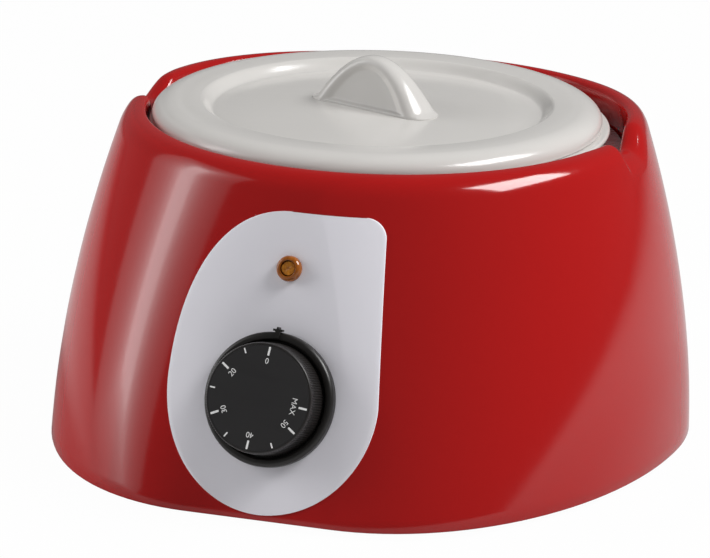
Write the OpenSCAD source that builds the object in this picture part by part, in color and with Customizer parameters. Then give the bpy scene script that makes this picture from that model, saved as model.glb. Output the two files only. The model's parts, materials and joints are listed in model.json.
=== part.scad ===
// Table-top chocolate melting tank, with a loose bowl and lid over a heated well.
// Millimetres, +Z up, front towards -Y, origin on the table under the middle of the housing's foot.

/* [Housing] */
// Width of the housing at its foot
base_w = 290; // [270:1:310]
// Bowl axis to the front edge at the foot
base_front = 169; // [160:1:180]
// Bowl axis to the back edge at the foot
base_back = 133; // [128:1:146]
// Height of the moulding, from its lower edge to the crest of the rim
shell_h = 145; // [140:0.5:162]
// Width of the flat front at the foot, which narrows to nothing at the rim
front_flat = 68; // [66:1:86]
// How late the side and back walls turn in: 1 is a straight wall, 2 a parabola
wall_bow = 1.9; // [1.5:0.05:2.2]
// Wall of the moulding
wall = 3; // [2:0.5:4]

/* [Rim and finger scoops] */
// Radius of the opening
open_r = 110; // [107:0.5:113]
// Width of the rim, from the opening to the outline that the walls lean to
rim_w = 9; // [8:0.5:12]
// Height of the rim's rounded shoulder
rim_h = 9; // [6:0.5:10]
// Rounding of the rim's inner edge
rim_in = 1.5; // [1:0.25:2.5]
// Depth of the finger scoops below the crest
scoop_depth = 7; // [4:0.5:8]
// Front edge of the scoops, ahead of the bowl's axis
scoop_front = 19; // [14:1:22]
// Back end of the scoops, behind the bowl's axis
scoop_back = 18; // [14:1:26]
// Rise of the rim just behind the finger scoops, over the rest of the crest
rim_rise = 2.4; // [0:0.1:3]

/* [Seat and heating well] */
// Depth of the bowl's seat below the crest of the rim
seat_drop = 14; // [13:0.5:16]
// Thickness of the well's flange
flange_t = 2; // [1.8:0.1:3]
// Thickness of the seal under the flange
seal_t = 1; // [0.5:0.25:2]
// Thickness of the ledge that carries the flange
ledge_t = 4; // [3:0.5:6]
// Sheet of the well
well_t = 1.5; // [1:0.25:2]
// Air gap between the bowl's floor and the well's floor
air_gap = 3; // [2:0.5:6]
// Radius of the well's lower corner
well_corner = 10; // [6:1:14]
// Number of screws that hold the flange down
well_screw_n = 6; // [4:2:8]

/* [Bowl] */
// Gap between the bowl's lip and the opening
lip_gap = 4.3; // [4:0.1:6]
// How far the loose bowl sits to the left of the opening's axis
bowl_shift = 3; // [0:0.1:3.6]
// Depth of the lip's top below the crest of the rim
lip_drop = 5; // [4:0.25:6]
// Overhang of the lip beyond the bowl's collar
lip_w = 2.5; // [2:0.25:4]
// Thickness of the lip
lip_t = 2.5; // [2:0.25:3.5]
// Wall of the bowl
bowl_t = 2.5; // [2:0.25:3]
// Width of the shoulder that rests on the well's flange
shoulder_w = 11.5; // [10:0.1:13]
// How much the bowl narrows from the shoulder to the floor
bowl_taper = 8; // [4:0.5:14]
// Radius of the bowl's lower corner
bowl_corner = 14; // [8:1:20]

/* [Lid] */
// How far the lid's edge stands in from the bowl's lip
lid_step = 2.4; // [1.5:0.1:4]
// Height of the lid's raised band over the lip
band_h = 9.3; // [8.5:0.1:11]
// Depth of the lid's sunk middle below the band
dish_drop = 4.8; // [3:0.1:5.5]
// Radius of the sunk middle
dish_r = 75; // [70:1:79]
// Rise of the sunk middle towards the grip
dish_crown = 2.2; // [1:0.1:3]
// Width of the lid's rounded edge
edge_w = 11; // [9:0.5:13]
// Sheet of the lid
lid_t = 2.5; // [2:0.25:3]
// Depth of the skirt that centres the lid in the bowl
skirt_h = 5; // [3:0.5:7]
// Gap between the skirt and the bowl's collar
skirt_gap = 1.3; // [0.8:0.1:2]
// How far the loose lid sits to the left in the bowl, as a share of that gap
lid_shift = 0.8; // [0:0.1:0.9]

/* [Lid grip] */
// Length of the half-moon grip
grip_len = 64; // [50:1:80]
// Height of the grip over the sunk middle
grip_h = 24; // [20:1:32]
// Thickness of the grip
grip_t = 19; // [14:1:22]
// Rounding of the grip's edges
grip_round = 5; // [3:0.5:6]
// Border left round the hollow in each face of the grip
grip_border = 6; // [5:0.5:8]
// Depth of the hollows
grip_hollow = 1.5; // [1:0.25:3]
// Turn of the grip about the lid's axis
grip_turn = -20; // [-90:1:90]

/* [Control panel] */
// Height of the knob's axis above the housing's lower edge
knob_up = 50.5; // [49.5:0.1:58]
// Lamp above the knob, along the slope of the front
lamp_up = 57.9; // [52:0.1:62]
// Lamp to the right of the knob's axis
lamp_side = 1; // [-3:0.5:3]
// Thickness of the control plate
plate_t = 0.45; // [0.3:0.05:0.8]
// Half width of the control plate, from the knob's axis to its straight right edge
plate_half_w = 48.5; // [44:0.5:54]
// How much further the plate reaches on its rounded left side
plate_bulge = 1.3; // [0:0.1:3]
// Control plate below the knob's axis
plate_low = 50.5; // [44:0.5:52]
// Control plate above the knob's axis
plate_high = 83; // [74:0.1:84]
// How far the plate's straight right edge leans in by the top
plate_lean = 7.5; // [0:0.5:10]
// Radius of the plate's upper right corner
plate_corner = 9; // [5:1:14]

/* [Knob and bezel] */
// Diameter of the knob
knob_d = 50; // [43:1:53]
// Height of the knob's face above the panel
knob_h = 18.5; // [16:0.5:22]
// Wall of the knob
knob_t = 2.4; // [2:0.1:3]
// Thickness of the knob's top
knob_top = 3; // [2.5:0.25:4]
// Border of the knob's top round the dial disc
dial_border = 1.3; // [1:0.1:3]
// Thickness of the dial disc
dial_t = 0.5; // [0.4:0.1:1]
// Diameter of the knob's hub
hub_d = 14; // [12:0.5:16]
// Width of the bezel's lip
bezel_lip = 3.5; // [3:0.1:5]
// Height of the bezel
bezel_h = 5; // [4:0.25:6]
// Floor of the bezel
bezel_floor = 1.5; // [1.2:0.1:2]
// Length of the pointer over the bezel's lip
pointer_l = 5; // [4.2:0.1:6]
// Width of the pointer
pointer_w = 3.5; // [2:0.25:5]

/* [Thermostat] */
// Diameter of the shaft
shaft_d = 6; // [5:0.5:8]
// Width of the thermostat's case
stat_w = 40; // [36:1:44]
// Height of the thermostat's case
stat_h = 36; // [32:1:40]
// Depth of the thermostat's case
stat_depth = 20; // [16:1:24]
// Thickness of the thermostat's mounting plate
stat_plate = 2; // [1.5:0.25:3]
// Diameter of the bush round the shaft
bush_d = 9.6; // [9:0.1:11]
// Distance between the two mounting screws
stat_pitch = 28; // [26:0.5:30]
// Diameter of the mounting screws
stat_screw_d = 4; // [3:0.5:4]
// Diameter of the feeler bulb
bulb_d = 6; // [4:0.5:8]
// Length of the feeler bulb
bulb_l = 55; // [40:1:58]
// Plan angle of the feeler bulb, counter-clockwise from the right
bulb_at = 236; // [230:1:240]

/* [Pilot lamp] */
// Diameter of the lens
lens_d = 11.5; // [11:0.25:13]
// Height of the lens above the control plate
lens_h = 4; // [3:0.25:6]
// Diameter of the lamp's holder
lamp_d = 9.8; // [8:0.1:10]
// Length of the holder behind the panel
lamp_l = 19; // [14:1:21]
// Wall of the holder
lamp_t = 0.8; // [0.6:0.1:1.2]
// Thickness of the holder's nut
lamp_nut_t = 3; // [2:0.5:4]

/* [Heating] */
// Thickness of the heater mat
mat_t = 1.5; // [1:0.25:3]
// Heater mat's edge in from the studs
mat_in = 5; // [3:0.5:15]
// Thickness of the insulation
pad_t = 8; // [6:0.5:9]
// Thickness of the heat shield
shield_t = 1; // [0.8:0.1:1.5]
// Height kept free under the heat shield for the wiring
service_h = 28; // [26:0.5:40]
// Heat shield's edge in from the outside of the well
shield_in = 4.5; // [2:0.5:7]
// Studs in from the rounded corner of the well
stud_in = 4.5; // [3.5:0.25:6]
// Diameter of the studs
stud_d = 4; // [3:0.5:5]
// Length of the studs
stud_l = 15; // [14.5:0.5:17]
// Height of the nuts on the studs
nut_h = 3.2; // [2.4:0.2:4]
// Diameter of the thermal cut-out
cutout_d = 16; // [12:1:18]
// Height of the thermal cut-out
cutout_h = 8; // [6:0.5:9]

/* [Base] */
// How far the feet stand below the housing
foot_proud = 3; // [2:0.5:5]
// Diameter of the rubber feet
foot_d = 20; // [16:1:24]
// Feet in from the sides of the housing's foot
foot_in_x = 50; // [48:1:62]
// Feet in from the front and back of the housing's foot
foot_in_y = 63.5; // [62:0.5:74]
// Depth that the base plate is let into the housing
base_inset = 1; // [0.5:0.25:3]
// Thickness of the base plate
base_t = 3; // [2.5:0.25:4]
// Gap round the base plate
base_gap = 0.5; // [0.3:0.1:1]
// Diameter of the posts that take the base screws
post_d = 9; // [8:0.5:10]
// Height of those posts
post_h = 18; // [12:1:22]
// Diameter of the self-tapping screws
tap_d = 3; // [2.5:0.25:3.5]
// Length of a cooling slot
vent_l = 34; // [20:1:40]
// Width of a cooling slot
vent_w = 5; // [3:0.5:6]

/* [Cable entry and terminals] */
// Height of the cable gland above the housing's lower edge
gland_up = 19; // [17:0.5:24]
// Diameter of the cable that the gland takes
cable_d = 8; // [6:0.5:9]
// Diameter of the gland's thread
gland_d = 16; // [14:0.5:18]
// Diameter of the gland's flange
gland_flange = 22; // [20:0.5:24]
// Length of the gland outside the wall
gland_out = 8; // [7:0.5:14]
// Length of the terminal block
block_l = 40; // [36:1:48]
// Space between the terminal block and the back of the housing's foot
block_back = 30; // [28:1:34]
// Width of the terminal block
block_w = 20; // [16:1:24]
// Height of the terminal block
block_h = 16; // [14:0.5:20]
// Diameter of the wires' insulation
wire_d = 2.4; // [1.6:0.1:2.8]

/* [Fits] */
// Radial clearance of the shaft in its bush and of the knob on the shaft
run_gap = 0.05; // [0.03:0.01:0.1]
// Radial clearance of screws in the holes they pass through
pass_gap = 0.2; // [0.1:0.05:0.4]
// Clearance between the moving knob and the bezel
turn_gap = 1.2; // [0.6:0.1:2]
// Gap under the control plate, filled with adhesive
glue_gap = 0.05; // [0.03:0.01:0.1]

/* [Hidden] */
$fn = 64;
// Overlap of a cutting tool past the face that it cuts
eps = 1;
// Overlap of two solids that make one piece
bite = 0.5;
// Self-tapping screws: clearance in their own bores, and the size of their heads
tap_clear = 0.1;
head_d = tap_d * 1.8;
head_h = tap_d * 0.7;

// Heights above the table
shell_z0 = foot_proud;
crest_z = shell_z0 + shell_h;
seat_z = crest_z - seat_drop;
lip_z = crest_z - lip_drop;
flange_z0 = seat_z - flange_t;
ledge_z = flange_z0 - seal_t;
ledge_z0 = ledge_z - ledge_t;
base_z0 = shell_z0 + base_inset;
base_z = base_z0 + base_t;
shield_z0 = base_z + service_h;
shield_z = shield_z0 + shield_t;
pad_z = shield_z + pad_t;
mat_z = pad_z + mat_t;
well_floor_z = mat_z + well_t;
bowl_z0 = well_floor_z + air_gap;

// Plan
axis_y = (base_front - base_back) / 2;
top_r = open_r + rim_w;
lean = atan((base_front - top_r) / shell_h);

// Radii of what nests in the opening
lip_r = open_r - lip_gap;
collar_r = lip_r - lip_w;
collar_in_r = collar_r - bowl_t;
body_r = collar_r - shoulder_w;
// Air left between the bowl and the well on the side that the bowl sits over to
well_play = 1.3;
flange_gap = 1;
ledge_gap = 1;
well_r = body_r + bowl_shift + well_play;
well_out_r = well_r + well_t;
flange_r = open_r - flange_gap;
ledge_r = well_out_r + ledge_gap;
shield_r = well_out_r - shield_in;
stud_circle = well_out_r - well_corner - stud_in;
mat_r = stud_circle - stud_d / 2 - mat_in;
well_screw_r = (well_out_r + flange_r) / 2;
lid_r = lip_r - lid_step;
skirt_r = collar_in_r - skirt_gap;

// Outline of the housing, as half sizes at a share s of its height
function half_w(s) = base_w / 2 + (top_r - base_w / 2) * pow(s, wall_bow);
function back_d(s) = base_back + (top_r - base_back) * pow(s, wall_bow);
function front_d(s) = base_front + (top_r - base_front) * s;
function flat_w(s) = front_flat / 2 * (1 - s * s);
function share(z) = (z - shell_z0) / shell_h;

// Point of the outline, with u running from the front (0) by the side (90) to the back (180)
function outline(u, side, z, inset) =
    let (s = share(z), w = flat_w(s), a = half_w(s) - inset)
    u <= 90
        ? [side * (w + (a - w) * sin(u)), axis_y - (front_d(s) - inset / cos(lean)) * cos(u), z]
        : [side * a * sin(u), axis_y - (back_d(s) - inset) * cos(u), z];

// Point on a circle about the bowl's axis, with a narrow chord at the very front
ring_chord = 1.2;
function ring_u(u) = u < 90 ? u + (90 - u) / 90 * ring_chord : u;
function ring(u, side, r, z) = [side * r * sin(ring_u(u)), axis_y - r * cos(ring_u(u)), z];

// Drop of the rim along the finger scoops: steep at the front edge, a long ramp at the back
scoop_lip = 5;
scoop_floor = 0;
function ease(t) = let (c = min(1, max(0, t))) c * c * (3 - 2 * c);
function rim_drop(u) =
    let (y = -(open_r + rim_w / 2) * cos(ring_u(u)))
    scoop_depth * min(ease((y + scoop_front) / scoop_lip),
                      ease((scoop_back - y) / (scoop_back - scoop_floor)));
// Rise of the rim behind the scoops, which dies out towards the back
rise_from = 88;
rise_top = 104;
rise_end = 154;
function rim_wave(u) =
    rim_rise * ease((u - rise_from) / (rise_top - rise_from))
        * (1 - ease((u - rise_top) / (rise_end - rise_top)));

// Stations round the housing, closer together at the scoops
coarse_step = 6;
fine_step = 2;
half_turn = concat([for (u = [0 : coarse_step : 72]) u], [for (u = [76 : fine_step : 102]) u],
                   [for (u = [108 : coarse_step : 174]) u], [180]);
stations = concat([for (u = half_turn) [u, 1]],
                  [for (i = [len(half_turn) - 2 : -1 : 0]) [half_turn[i], -1]]);
wall_steps = 7;
rim_steps = 7;
edge_steps = 3;
// Collar's end below the ledge that it carries
collar_below = 1.5;
collar_end_z = ledge_z0 - collar_below;

// Closed cross-section of the housing's wall at one station: outside, shoulder, inner edge, collar, inside
function wall_section(u, side) =
    let (zc = crest_z + rim_wave(u) - rim_drop(u),
         zt = zc - rim_h,
         zu = zt + rim_h / 3,
         po = outline(u, side, zt, 0),
         pi = ring(u, side, open_r, zt),
         kc = 1 - rim_in / norm(pi - po))
    concat(
        [for (i = [0 : wall_steps]) outline(u, side, shell_z0 + (zt - shell_z0) * i / wall_steps, 0)],
        [for (i = [1 : rim_steps])
            let (q = 90 * i / rim_steps, p = po + (pi - po) * kc * (1 - cos(q)))
            [p.x, p.y, zt + rim_h * sin(q)]],
        [for (i = [1 : edge_steps])
            let (q = 90 * i / edge_steps, p = po + (pi - po) * (kc + (1 - kc) * sin(q)))
            [p.x, p.y, zc - rim_in * (1 - cos(q))]],
        [ring(u, side, open_r, collar_end_z)],
        [ring(u, side, open_r + wall, collar_end_z)],
        [ring(u, side, open_r + wall, zu)],
        [let (p = outline(u, side, zt, wall)) [p.x, p.y, zu]],
        [for (i = [wall_steps - 1 : -1 : 0])
            outline(u, side, shell_z0 + (zt - shell_z0) * i / wall_steps, wall)]);

// Solid skinned over a closed row of equal closed sections
module skin_loop(sections) {
    n = len(sections);
    m = len(sections[0]);
    polyhedron(
        points = [for (s = sections) each s],
        faces = [for (j = [0 : n - 1], i = [0 : m - 1])
            let (a = j * m + i, b = j * m + (i + 1) % m,
                 c = ((j + 1) % n) * m + (i + 1) % m, d = ((j + 1) % n) * m + i)
            each [[a, b, c], [a, c, d]]]);
}

// Solid skinned over an open row of equal closed sections, with flat ends; quads cross the other way from
// the section's point number turn_at on
module skin_row(sections, turn_at = 1000) {
    n = len(sections);
    m = len(sections[0]);
    polyhedron(
        points = [for (s = sections) each s],
        faces = concat(
            [for (j = [0 : n - 2], i = [0 : m - 1])
                let (a = j * m + i, b = j * m + (i + 1) % m, c = b + m, d = a + m)
                each i < turn_at ? [[a, b, c], [a, c, d]] : [[a, b, d], [b, c, d]]],
            [for (i = [1 : m - 2]) [0, i + 1, i]],
            [for (i = [1 : m - 2]) let (o = (n - 1) * m) [o, o + i, o + i + 1]]));
}

// Quarter or longer arc of an ellipse as profile points
function arc(cx, cy, rx, ry, from, to, steps = 10) =
    [for (i = [0 : steps]) let (q = from + (to - from) * i / steps) [cx + rx * cos(q), cy + ry * sin(q)]];

// Smooth path through hand-chosen points
path_steps = 4;
function spline_at(p, i, t) =
    let (n = len(p), a = p[max(i - 1, 0)], b = p[i], c = p[i + 1], d = p[min(i + 2, n - 1)])
    0.5 * (2 * b + (c - a) * t + (2 * a - 5 * b + 4 * c - d) * t * t + (3 * b - a - 3 * c + d) * t * t * t);
function spline(p) = concat(
    [for (i = [0 : len(p) - 2], k = [0 : path_steps - 1]) spline_at(p, i, k / path_steps)],
    [p[len(p) - 1]]);
function unit(v) = v / norm(v);

// Round tube along a smooth path, square to the path's first and last stretch at its ends
tube_sides = 8;
module tube(points, d) {
    path = spline(points);
    n = len(path);
    heading = [for (i = [0 : n - 1])
        i == 0 ? unit(points[1] - points[0])
        : i == n - 1 ? unit(points[len(points) - 1] - points[len(points) - 2])
        : unit(path[i + 1] - path[i - 1])];
    skin_row([for (i = [0 : n - 1])
        let (h = heading[i],
             e = unit(cross(h, abs(h.z) > 0.9 ? [0, 1, 0] : [0, 0, 1])),
             g = cross(e, h))
        [for (k = [0 : tube_sides - 1])
            let (q = 360 * k / tube_sides) path[i] + d / 2 * (e * cos(q) + g * sin(q))]]);
}

// Places of the panel: local +Z out of the front, local +Y up its slope, origin on the outer face
knob_z = shell_z0 + knob_up;
module on_panel(up = 0, side = 0) {
    z = knob_z + up * cos(lean);
    translate([side, axis_y - front_d(share(z)), z])
        rotate([90 - lean, 0, 0]) children();
}
module on_lamp() {
    on_panel(lamp_up, lamp_side) children();
}
function panel_point(p) =
    let (y0 = axis_y - front_d(share(knob_z)))
    [p.x, y0 + p.y * sin(lean) - p.z * cos(lean), knob_z + p.y * cos(lean) + p.z * sin(lean)];
plate_top = glue_gap + plate_t;

// Children repeated round the bowl's axis
module round_axis(angles, r) {
    for (a = angles)
        translate([r * cos(a), axis_y + r * sin(a), 0]) rotate([0, 0, a]) children();
}
well_screw_at = [for (i = [0 : well_screw_n - 1]) 360 * i / well_screw_n];
stud_at = [45, 135, 225, 315];

// Base posts, as u and side of the outline; the front ones stand further in, where the wall leans over them
post_at = [[20, 1], [70, 1], [135, 1], [135, -1], [70, -1], [20, -1]];
side_post_in = 3.5;
post_root = 0.4;
front_post_in = post_d / 2 + post_h * tan(lean) - wall + post_root;
module at_posts() {
    for (p = post_at) {
        q = outline(p[0], p[1], base_z, wall + (p[0] < 45 ? front_post_in : side_post_in));
        translate([q.x, q.y, 0]) children();
    }
}
foot_x = base_w / 2 - foot_in_x;
foot_y = (base_front + base_back) / 2 - foot_in_y;
module at_feet() {
    for (x = [-1, 1], y = [-1, 1]) translate([x * foot_x, y * foot_y, 0]) children();
}

// Red moulded housing
boss_d = 7;
boss_l = 8;
gland_z = shell_z0 + gland_up;
boss_floor = 1.5;
post_floor = 3;
module body_shell() {
    color("firebrick") difference() {
        union() {
            skin_loop([for (s = stations) wall_section(s[0], s[1])]);
            translate([0, axis_y, ledge_z0]) rotate_extrude()
                translate([ledge_r, 0]) square([open_r + wall / 2 - ledge_r, ledge_t]);
            round_axis(well_screw_at, well_screw_r)
                translate([0, 0, ledge_z0 - boss_l]) cylinder(d = boss_d, h = boss_l + ledge_t / 2);
            at_posts() translate([0, 0, base_z]) cylinder(d = post_d, h = post_h);
        }
        round_axis(well_screw_at, well_screw_r)
            translate([0, 0, ledge_z0 - boss_l + boss_floor])
                cylinder(d = tap_d + 2 * tap_clear, h = boss_l + ledge_t);
        at_posts() translate([0, 0, base_z - eps])
            cylinder(d = tap_d + 2 * tap_clear, h = post_h - post_floor + eps);
        on_panel() translate([0, 0, -wall - eps]) cylinder(d = bush_d + 2 * pass_gap, h = wall + 2 * eps);
        on_panel() for (x = [-1, 1])
            translate([x * stat_pitch / 2, 0, -wall - eps])
                cylinder(d = stat_screw_d + 2 * pass_gap, h = wall + 2 * eps);
        on_lamp() translate([0, 0, -wall - eps])
            cylinder(d = lamp_d + 2 * pass_gap, h = wall + 2 * eps);
        translate([0, axis_y + base_back + eps, gland_z]) rotate([90, 0, 0])
            cylinder(d = gland_d + 2 * pass_gap, h = wall + 3 * eps);
    }
}

// Grey control plate, cut from a skin that follows the front from the flat on to the round of the sides
plate_rows = 24;
plate_fullness = 2.2;
plate_left_low = 6.5;
plate_left_w = plate_half_w + plate_bulge;
plate_reach = 42;
function plate_left(v) =
    v < plate_left_low
        ? -plate_left_w * sqrt(max(0, 1 - pow((v - plate_left_low) / (plate_low + plate_left_low), 2)))
        : -plate_left_w * pow(max(0, 1 - pow((v - plate_left_low) / (plate_high - plate_left_low),
                                             plate_fullness)), 1 / plate_fullness);
function plate_right(v) =
    let (edge = plate_half_w - plate_lean * max(0, v) / plate_high,
         c = max(0, v - plate_high + plate_corner))
    v < 0
        ? plate_half_w * sqrt(max(0, 1 - pow(v / plate_low, 2)))
        : edge - plate_corner + sqrt(max(0, pow(plate_corner, 2) - c * c));
// Rows are closer together towards the rounded top and bottom
function plate_row(j) = -plate_low + (plate_low + plate_high) * (1 - cos(180 * j / plate_rows)) / 2;
module plate_shape() {
    polygon(concat(
        [for (j = [0 : plate_rows]) let (v = plate_row(j)) [plate_right(v), v * cos(lean)]],
        [for (j = [plate_rows - 1 : -1 : 1]) let (v = plate_row(j)) [plate_left(v), v * cos(lean)]]));
}
// Wall at one station between two distances out from the housing, with the housing's own facets
function front_section(u, side, near, far) =
    let (zt = crest_z - rim_h,
         levels = [for (i = [0 : wall_steps]) shell_z0 + (zt - shell_z0) * i / wall_steps])
    concat([for (z = levels) outline(u, side, z, -far)],
           [for (i = [wall_steps : -1 : 0]) outline(u, side, levels[i], -near)]);
front_half = [for (u = half_turn) if (u <= plate_reach) u];
front_stations = concat([for (i = [len(front_half) - 1 : -1 : 0]) [front_half[i], -1]],
                        [for (u = front_half) [u, 1]]);
module control_overlay() {
    color("lightgray") difference() {
        intersection() {
            skin_row([for (s = front_stations) front_section(s[0], s[1], glue_gap, plate_top)],
                     wall_steps + 1);
            translate([0, 0, knob_z]) rotate([90, 0, 0]) linear_extrude(base_front) plate_shape();
        }
        on_panel() translate([0, 0, -eps]) cylinder(d = bush_d + 2 * pass_gap, h = 3 * eps);
        on_panel() for (x = [-1, 1])
            translate([x * stat_pitch / 2, 0, -eps]) cylinder(d = stat_screw_d + 2 * pass_gap, h = 3 * eps);
        on_lamp() translate([0, 0, -eps]) cylinder(d = lamp_d + 2 * pass_gap, h = 3 * eps);
    }
}

// Metal well that the bowl hangs in, with studs welded under its floor
csk_d = tap_d * 1.9;
csk_h = (csk_d - tap_d) / 2;
csk_sink = 0.15;
csk_cut = csk_h + csk_sink + eps;
module heating_well() {
    profile = concat(
        [[0, well_floor_z - well_t]],
        arc(well_out_r - well_corner, well_floor_z - well_t + well_corner, well_corner, well_corner, -90, 0),
        [[well_out_r, flange_z0], [flange_r, flange_z0], [flange_r, seat_z], [well_r, seat_z]],
        arc(well_out_r - well_corner, well_floor_z - well_t + well_corner,
            well_corner - well_t, well_corner - well_t, 0, -90),
        [[0, well_floor_z]]);
    color("silver") {
        difference() {
            translate([0, axis_y, 0]) rotate_extrude() polygon(profile);
            round_axis(well_screw_at, well_screw_r) translate([0, 0, flange_z0 - eps])
                cylinder(d = tap_d + 2 * pass_gap, h = flange_t + 2 * eps);
            round_axis(well_screw_at, well_screw_r) translate([0, 0, seat_z - csk_h - csk_sink])
                cylinder(d1 = tap_d + 2 * run_gap, d2 = tap_d + 2 * run_gap + 2 * csk_cut, h = csk_cut);
        }
        round_axis(stud_at, stud_circle)
            translate([0, 0, mat_z - stud_l]) cylinder(d = stud_d, h = stud_l + well_t / 2);
    }
}

// Silicone seal between the ledge and the well's flange
module well_seal() {
    color("dimgray") difference() {
        translate([0, axis_y, ledge_z]) rotate_extrude()
            translate([ledge_r, 0]) square([flange_r - ledge_r, seal_t]);
        round_axis(well_screw_at, well_screw_r) translate([0, 0, ledge_z - eps])
            cylinder(d = tap_d + 2 * pass_gap, h = seal_t + 2 * eps);
    }
}

// Countersunk screws, flush with the flange
well_screw_in = 2;
module well_screws() {
    color("gainsboro") round_axis(well_screw_at, well_screw_r) translate([0, 0, seat_z - csk_sink]) {
        translate([0, 0, -csk_h]) cylinder(d1 = tap_d, d2 = csk_d, h = csk_h);
        translate([0, 0, -flange_t - seal_t - ledge_t - well_screw_in])
            cylinder(d = tap_d, h = flange_t + seal_t + ledge_t + well_screw_in - csk_h / 2);
    }
}

// Heater mat bonded under the well, with a tab for its two leads
tab_w = 14;
tab_out = 4;
tab_r = shield_r + tab_out;
module heater_mat() {
    color("orangered") translate([0, axis_y, pad_z]) union() {
        cylinder(r = mat_r, h = mat_t);
        translate([-tab_w / 2, 0, 0]) cube([tab_w, tab_r, mat_t]);
    }
}

// Insulation, pressed against the mat by the heat shield
stud_hole = stud_d + 4 * pass_gap;
pad_in = 2;
module insulation_pad() {
    color("wheat") difference() {
        translate([0, axis_y, shield_z]) cylinder(r = shield_r - pad_in, h = pad_t);
        round_axis(stud_at, stud_circle)
            translate([0, 0, shield_z - eps]) cylinder(d = stud_hole, h = pad_t + 2 * eps);
    }
}

// Sheet steel shield with a turned-up edge
cutout_x = 34;
cutout_pitch = 22;
cutout_plate = 1;
cutout_ear = 4;
cutout_ear_w = 10;
module at_cutout_screws() {
    for (x = [-1, 1]) translate([cutout_x + x * cutout_pitch / 2, axis_y, 0]) children();
}
module heat_shield() {
    color("lightgray") difference() {
        translate([0, axis_y, shield_z0]) union() {
            cylinder(r = shield_r, h = shield_t);
            rotate_extrude() translate([shield_r - shield_t, 0]) square([shield_t, shield_t + pad_t / 2]);
        }
        round_axis(stud_at, stud_circle)
            translate([0, 0, shield_z0 - eps]) cylinder(d = stud_hole, h = shield_t + 2 * eps);
        at_cutout_screws() translate([0, 0, shield_z0 - eps])
            cylinder(d = tap_d + 2 * tap_clear, h = shield_t + 2 * eps);
    }
}

// Nuts that hold the shield up on the studs
module shield_nuts() {
    color("gray") round_axis(stud_at, stud_circle) translate([0, 0, shield_z0 - nut_h]) difference() {
        cylinder(d = stud_d * 2, h = nut_h, $fn = 6);
        translate([0, 0, -eps]) cylinder(d = stud_d + 2 * run_gap, h = nut_h + 2 * eps);
    }
}

// Safety cut-out under the shield, with its two blades
blade_w = 6.3;
blade_t = 0.8;
blade_l = 8;
cutout_blade_x = 4;
module thermal_cutout() {
    color("ivory") difference() {
        translate([cutout_x, axis_y, shield_z0]) union() {
            translate([0, 0, -cutout_h]) cylinder(d = cutout_d, h = cutout_h);
            translate([-cutout_pitch / 2 - cutout_ear, -cutout_ear_w / 2, -cutout_plate])
                cube([cutout_pitch + 2 * cutout_ear, cutout_ear_w, cutout_plate]);
            for (x = [-1, 1])
                translate([x * cutout_blade_x - blade_t / 2, -blade_w / 2, -cutout_h - blade_l])
                    cube([blade_t, blade_w, blade_l + bite]);
        }
        at_cutout_screws() translate([0, 0, shield_z0 - cutout_plate - eps])
            cylinder(d = tap_d + 2 * pass_gap, h = cutout_plate + 2 * eps);
    }
}
module cutout_screws() {
    color("gray") at_cutout_screws() {
        translate([0, 0, shield_z0 - cutout_plate - head_h]) cylinder(d = head_d, h = head_h);
        translate([0, 0, shield_z0 - cutout_plate - bite])
            cylinder(d = tap_d, h = cutout_plate + shield_t + bite);
    }
}

// Thermostat behind the panel, with the bush that carries its shaft and two blades behind
stat_back = -wall - stat_plate - stat_depth;
bush_proud = 0.5;
bush_top = plate_top + bezel_floor + bush_proud;
blade_x = 10;
stat_ear = 3;
stat_floor = 3;
stat_tap = 5;
module thermostat_body() {
    color("whitesmoke") on_panel() difference() {
        union() {
            translate([-stat_w / 2 - stat_ear, -stat_h / 2, -wall - stat_plate])
                cube([stat_w + 2 * stat_ear, stat_h, stat_plate]);
            translate([-stat_w / 2, -stat_h / 2, stat_back]) cube([stat_w, stat_h, stat_depth + bite]);
            translate([0, 0, -wall - bite]) cylinder(d = bush_d, h = wall + bush_top + bite);
            for (x = [-1, 1])
                translate([x * blade_x - blade_w / 2, -blade_t / 2, stat_back - blade_l])
                    cube([blade_w, blade_t, blade_l + bite]);
        }
        translate([0, 0, stat_back + stat_floor])
            cylinder(d = shaft_d + 2 * run_gap, h = bush_top - stat_back);
        for (x = [-1, 1])
            translate([x * stat_pitch / 2, 0, -wall - stat_plate - stat_tap])
                cylinder(d = stat_screw_d + 2 * run_gap, h = stat_plate + stat_tap + eps);
    }
}
stat_head_h = 2.2;
stat_screw_in = 4;
module thermostat_screws() {
    color("gray") on_panel() for (x = [-1, 1])
        translate([x * stat_pitch / 2, 0, plate_top + bezel_floor]) {
            cylinder(d = stat_screw_d * 1.75, h = stat_head_h);
            translate([0, 0, -plate_top - bezel_floor - wall - stat_plate - stat_screw_in])
                cylinder(d = stat_screw_d,
                         h = plate_top + bezel_floor + wall + stat_plate + stat_screw_in + bite);
        }
}

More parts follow.
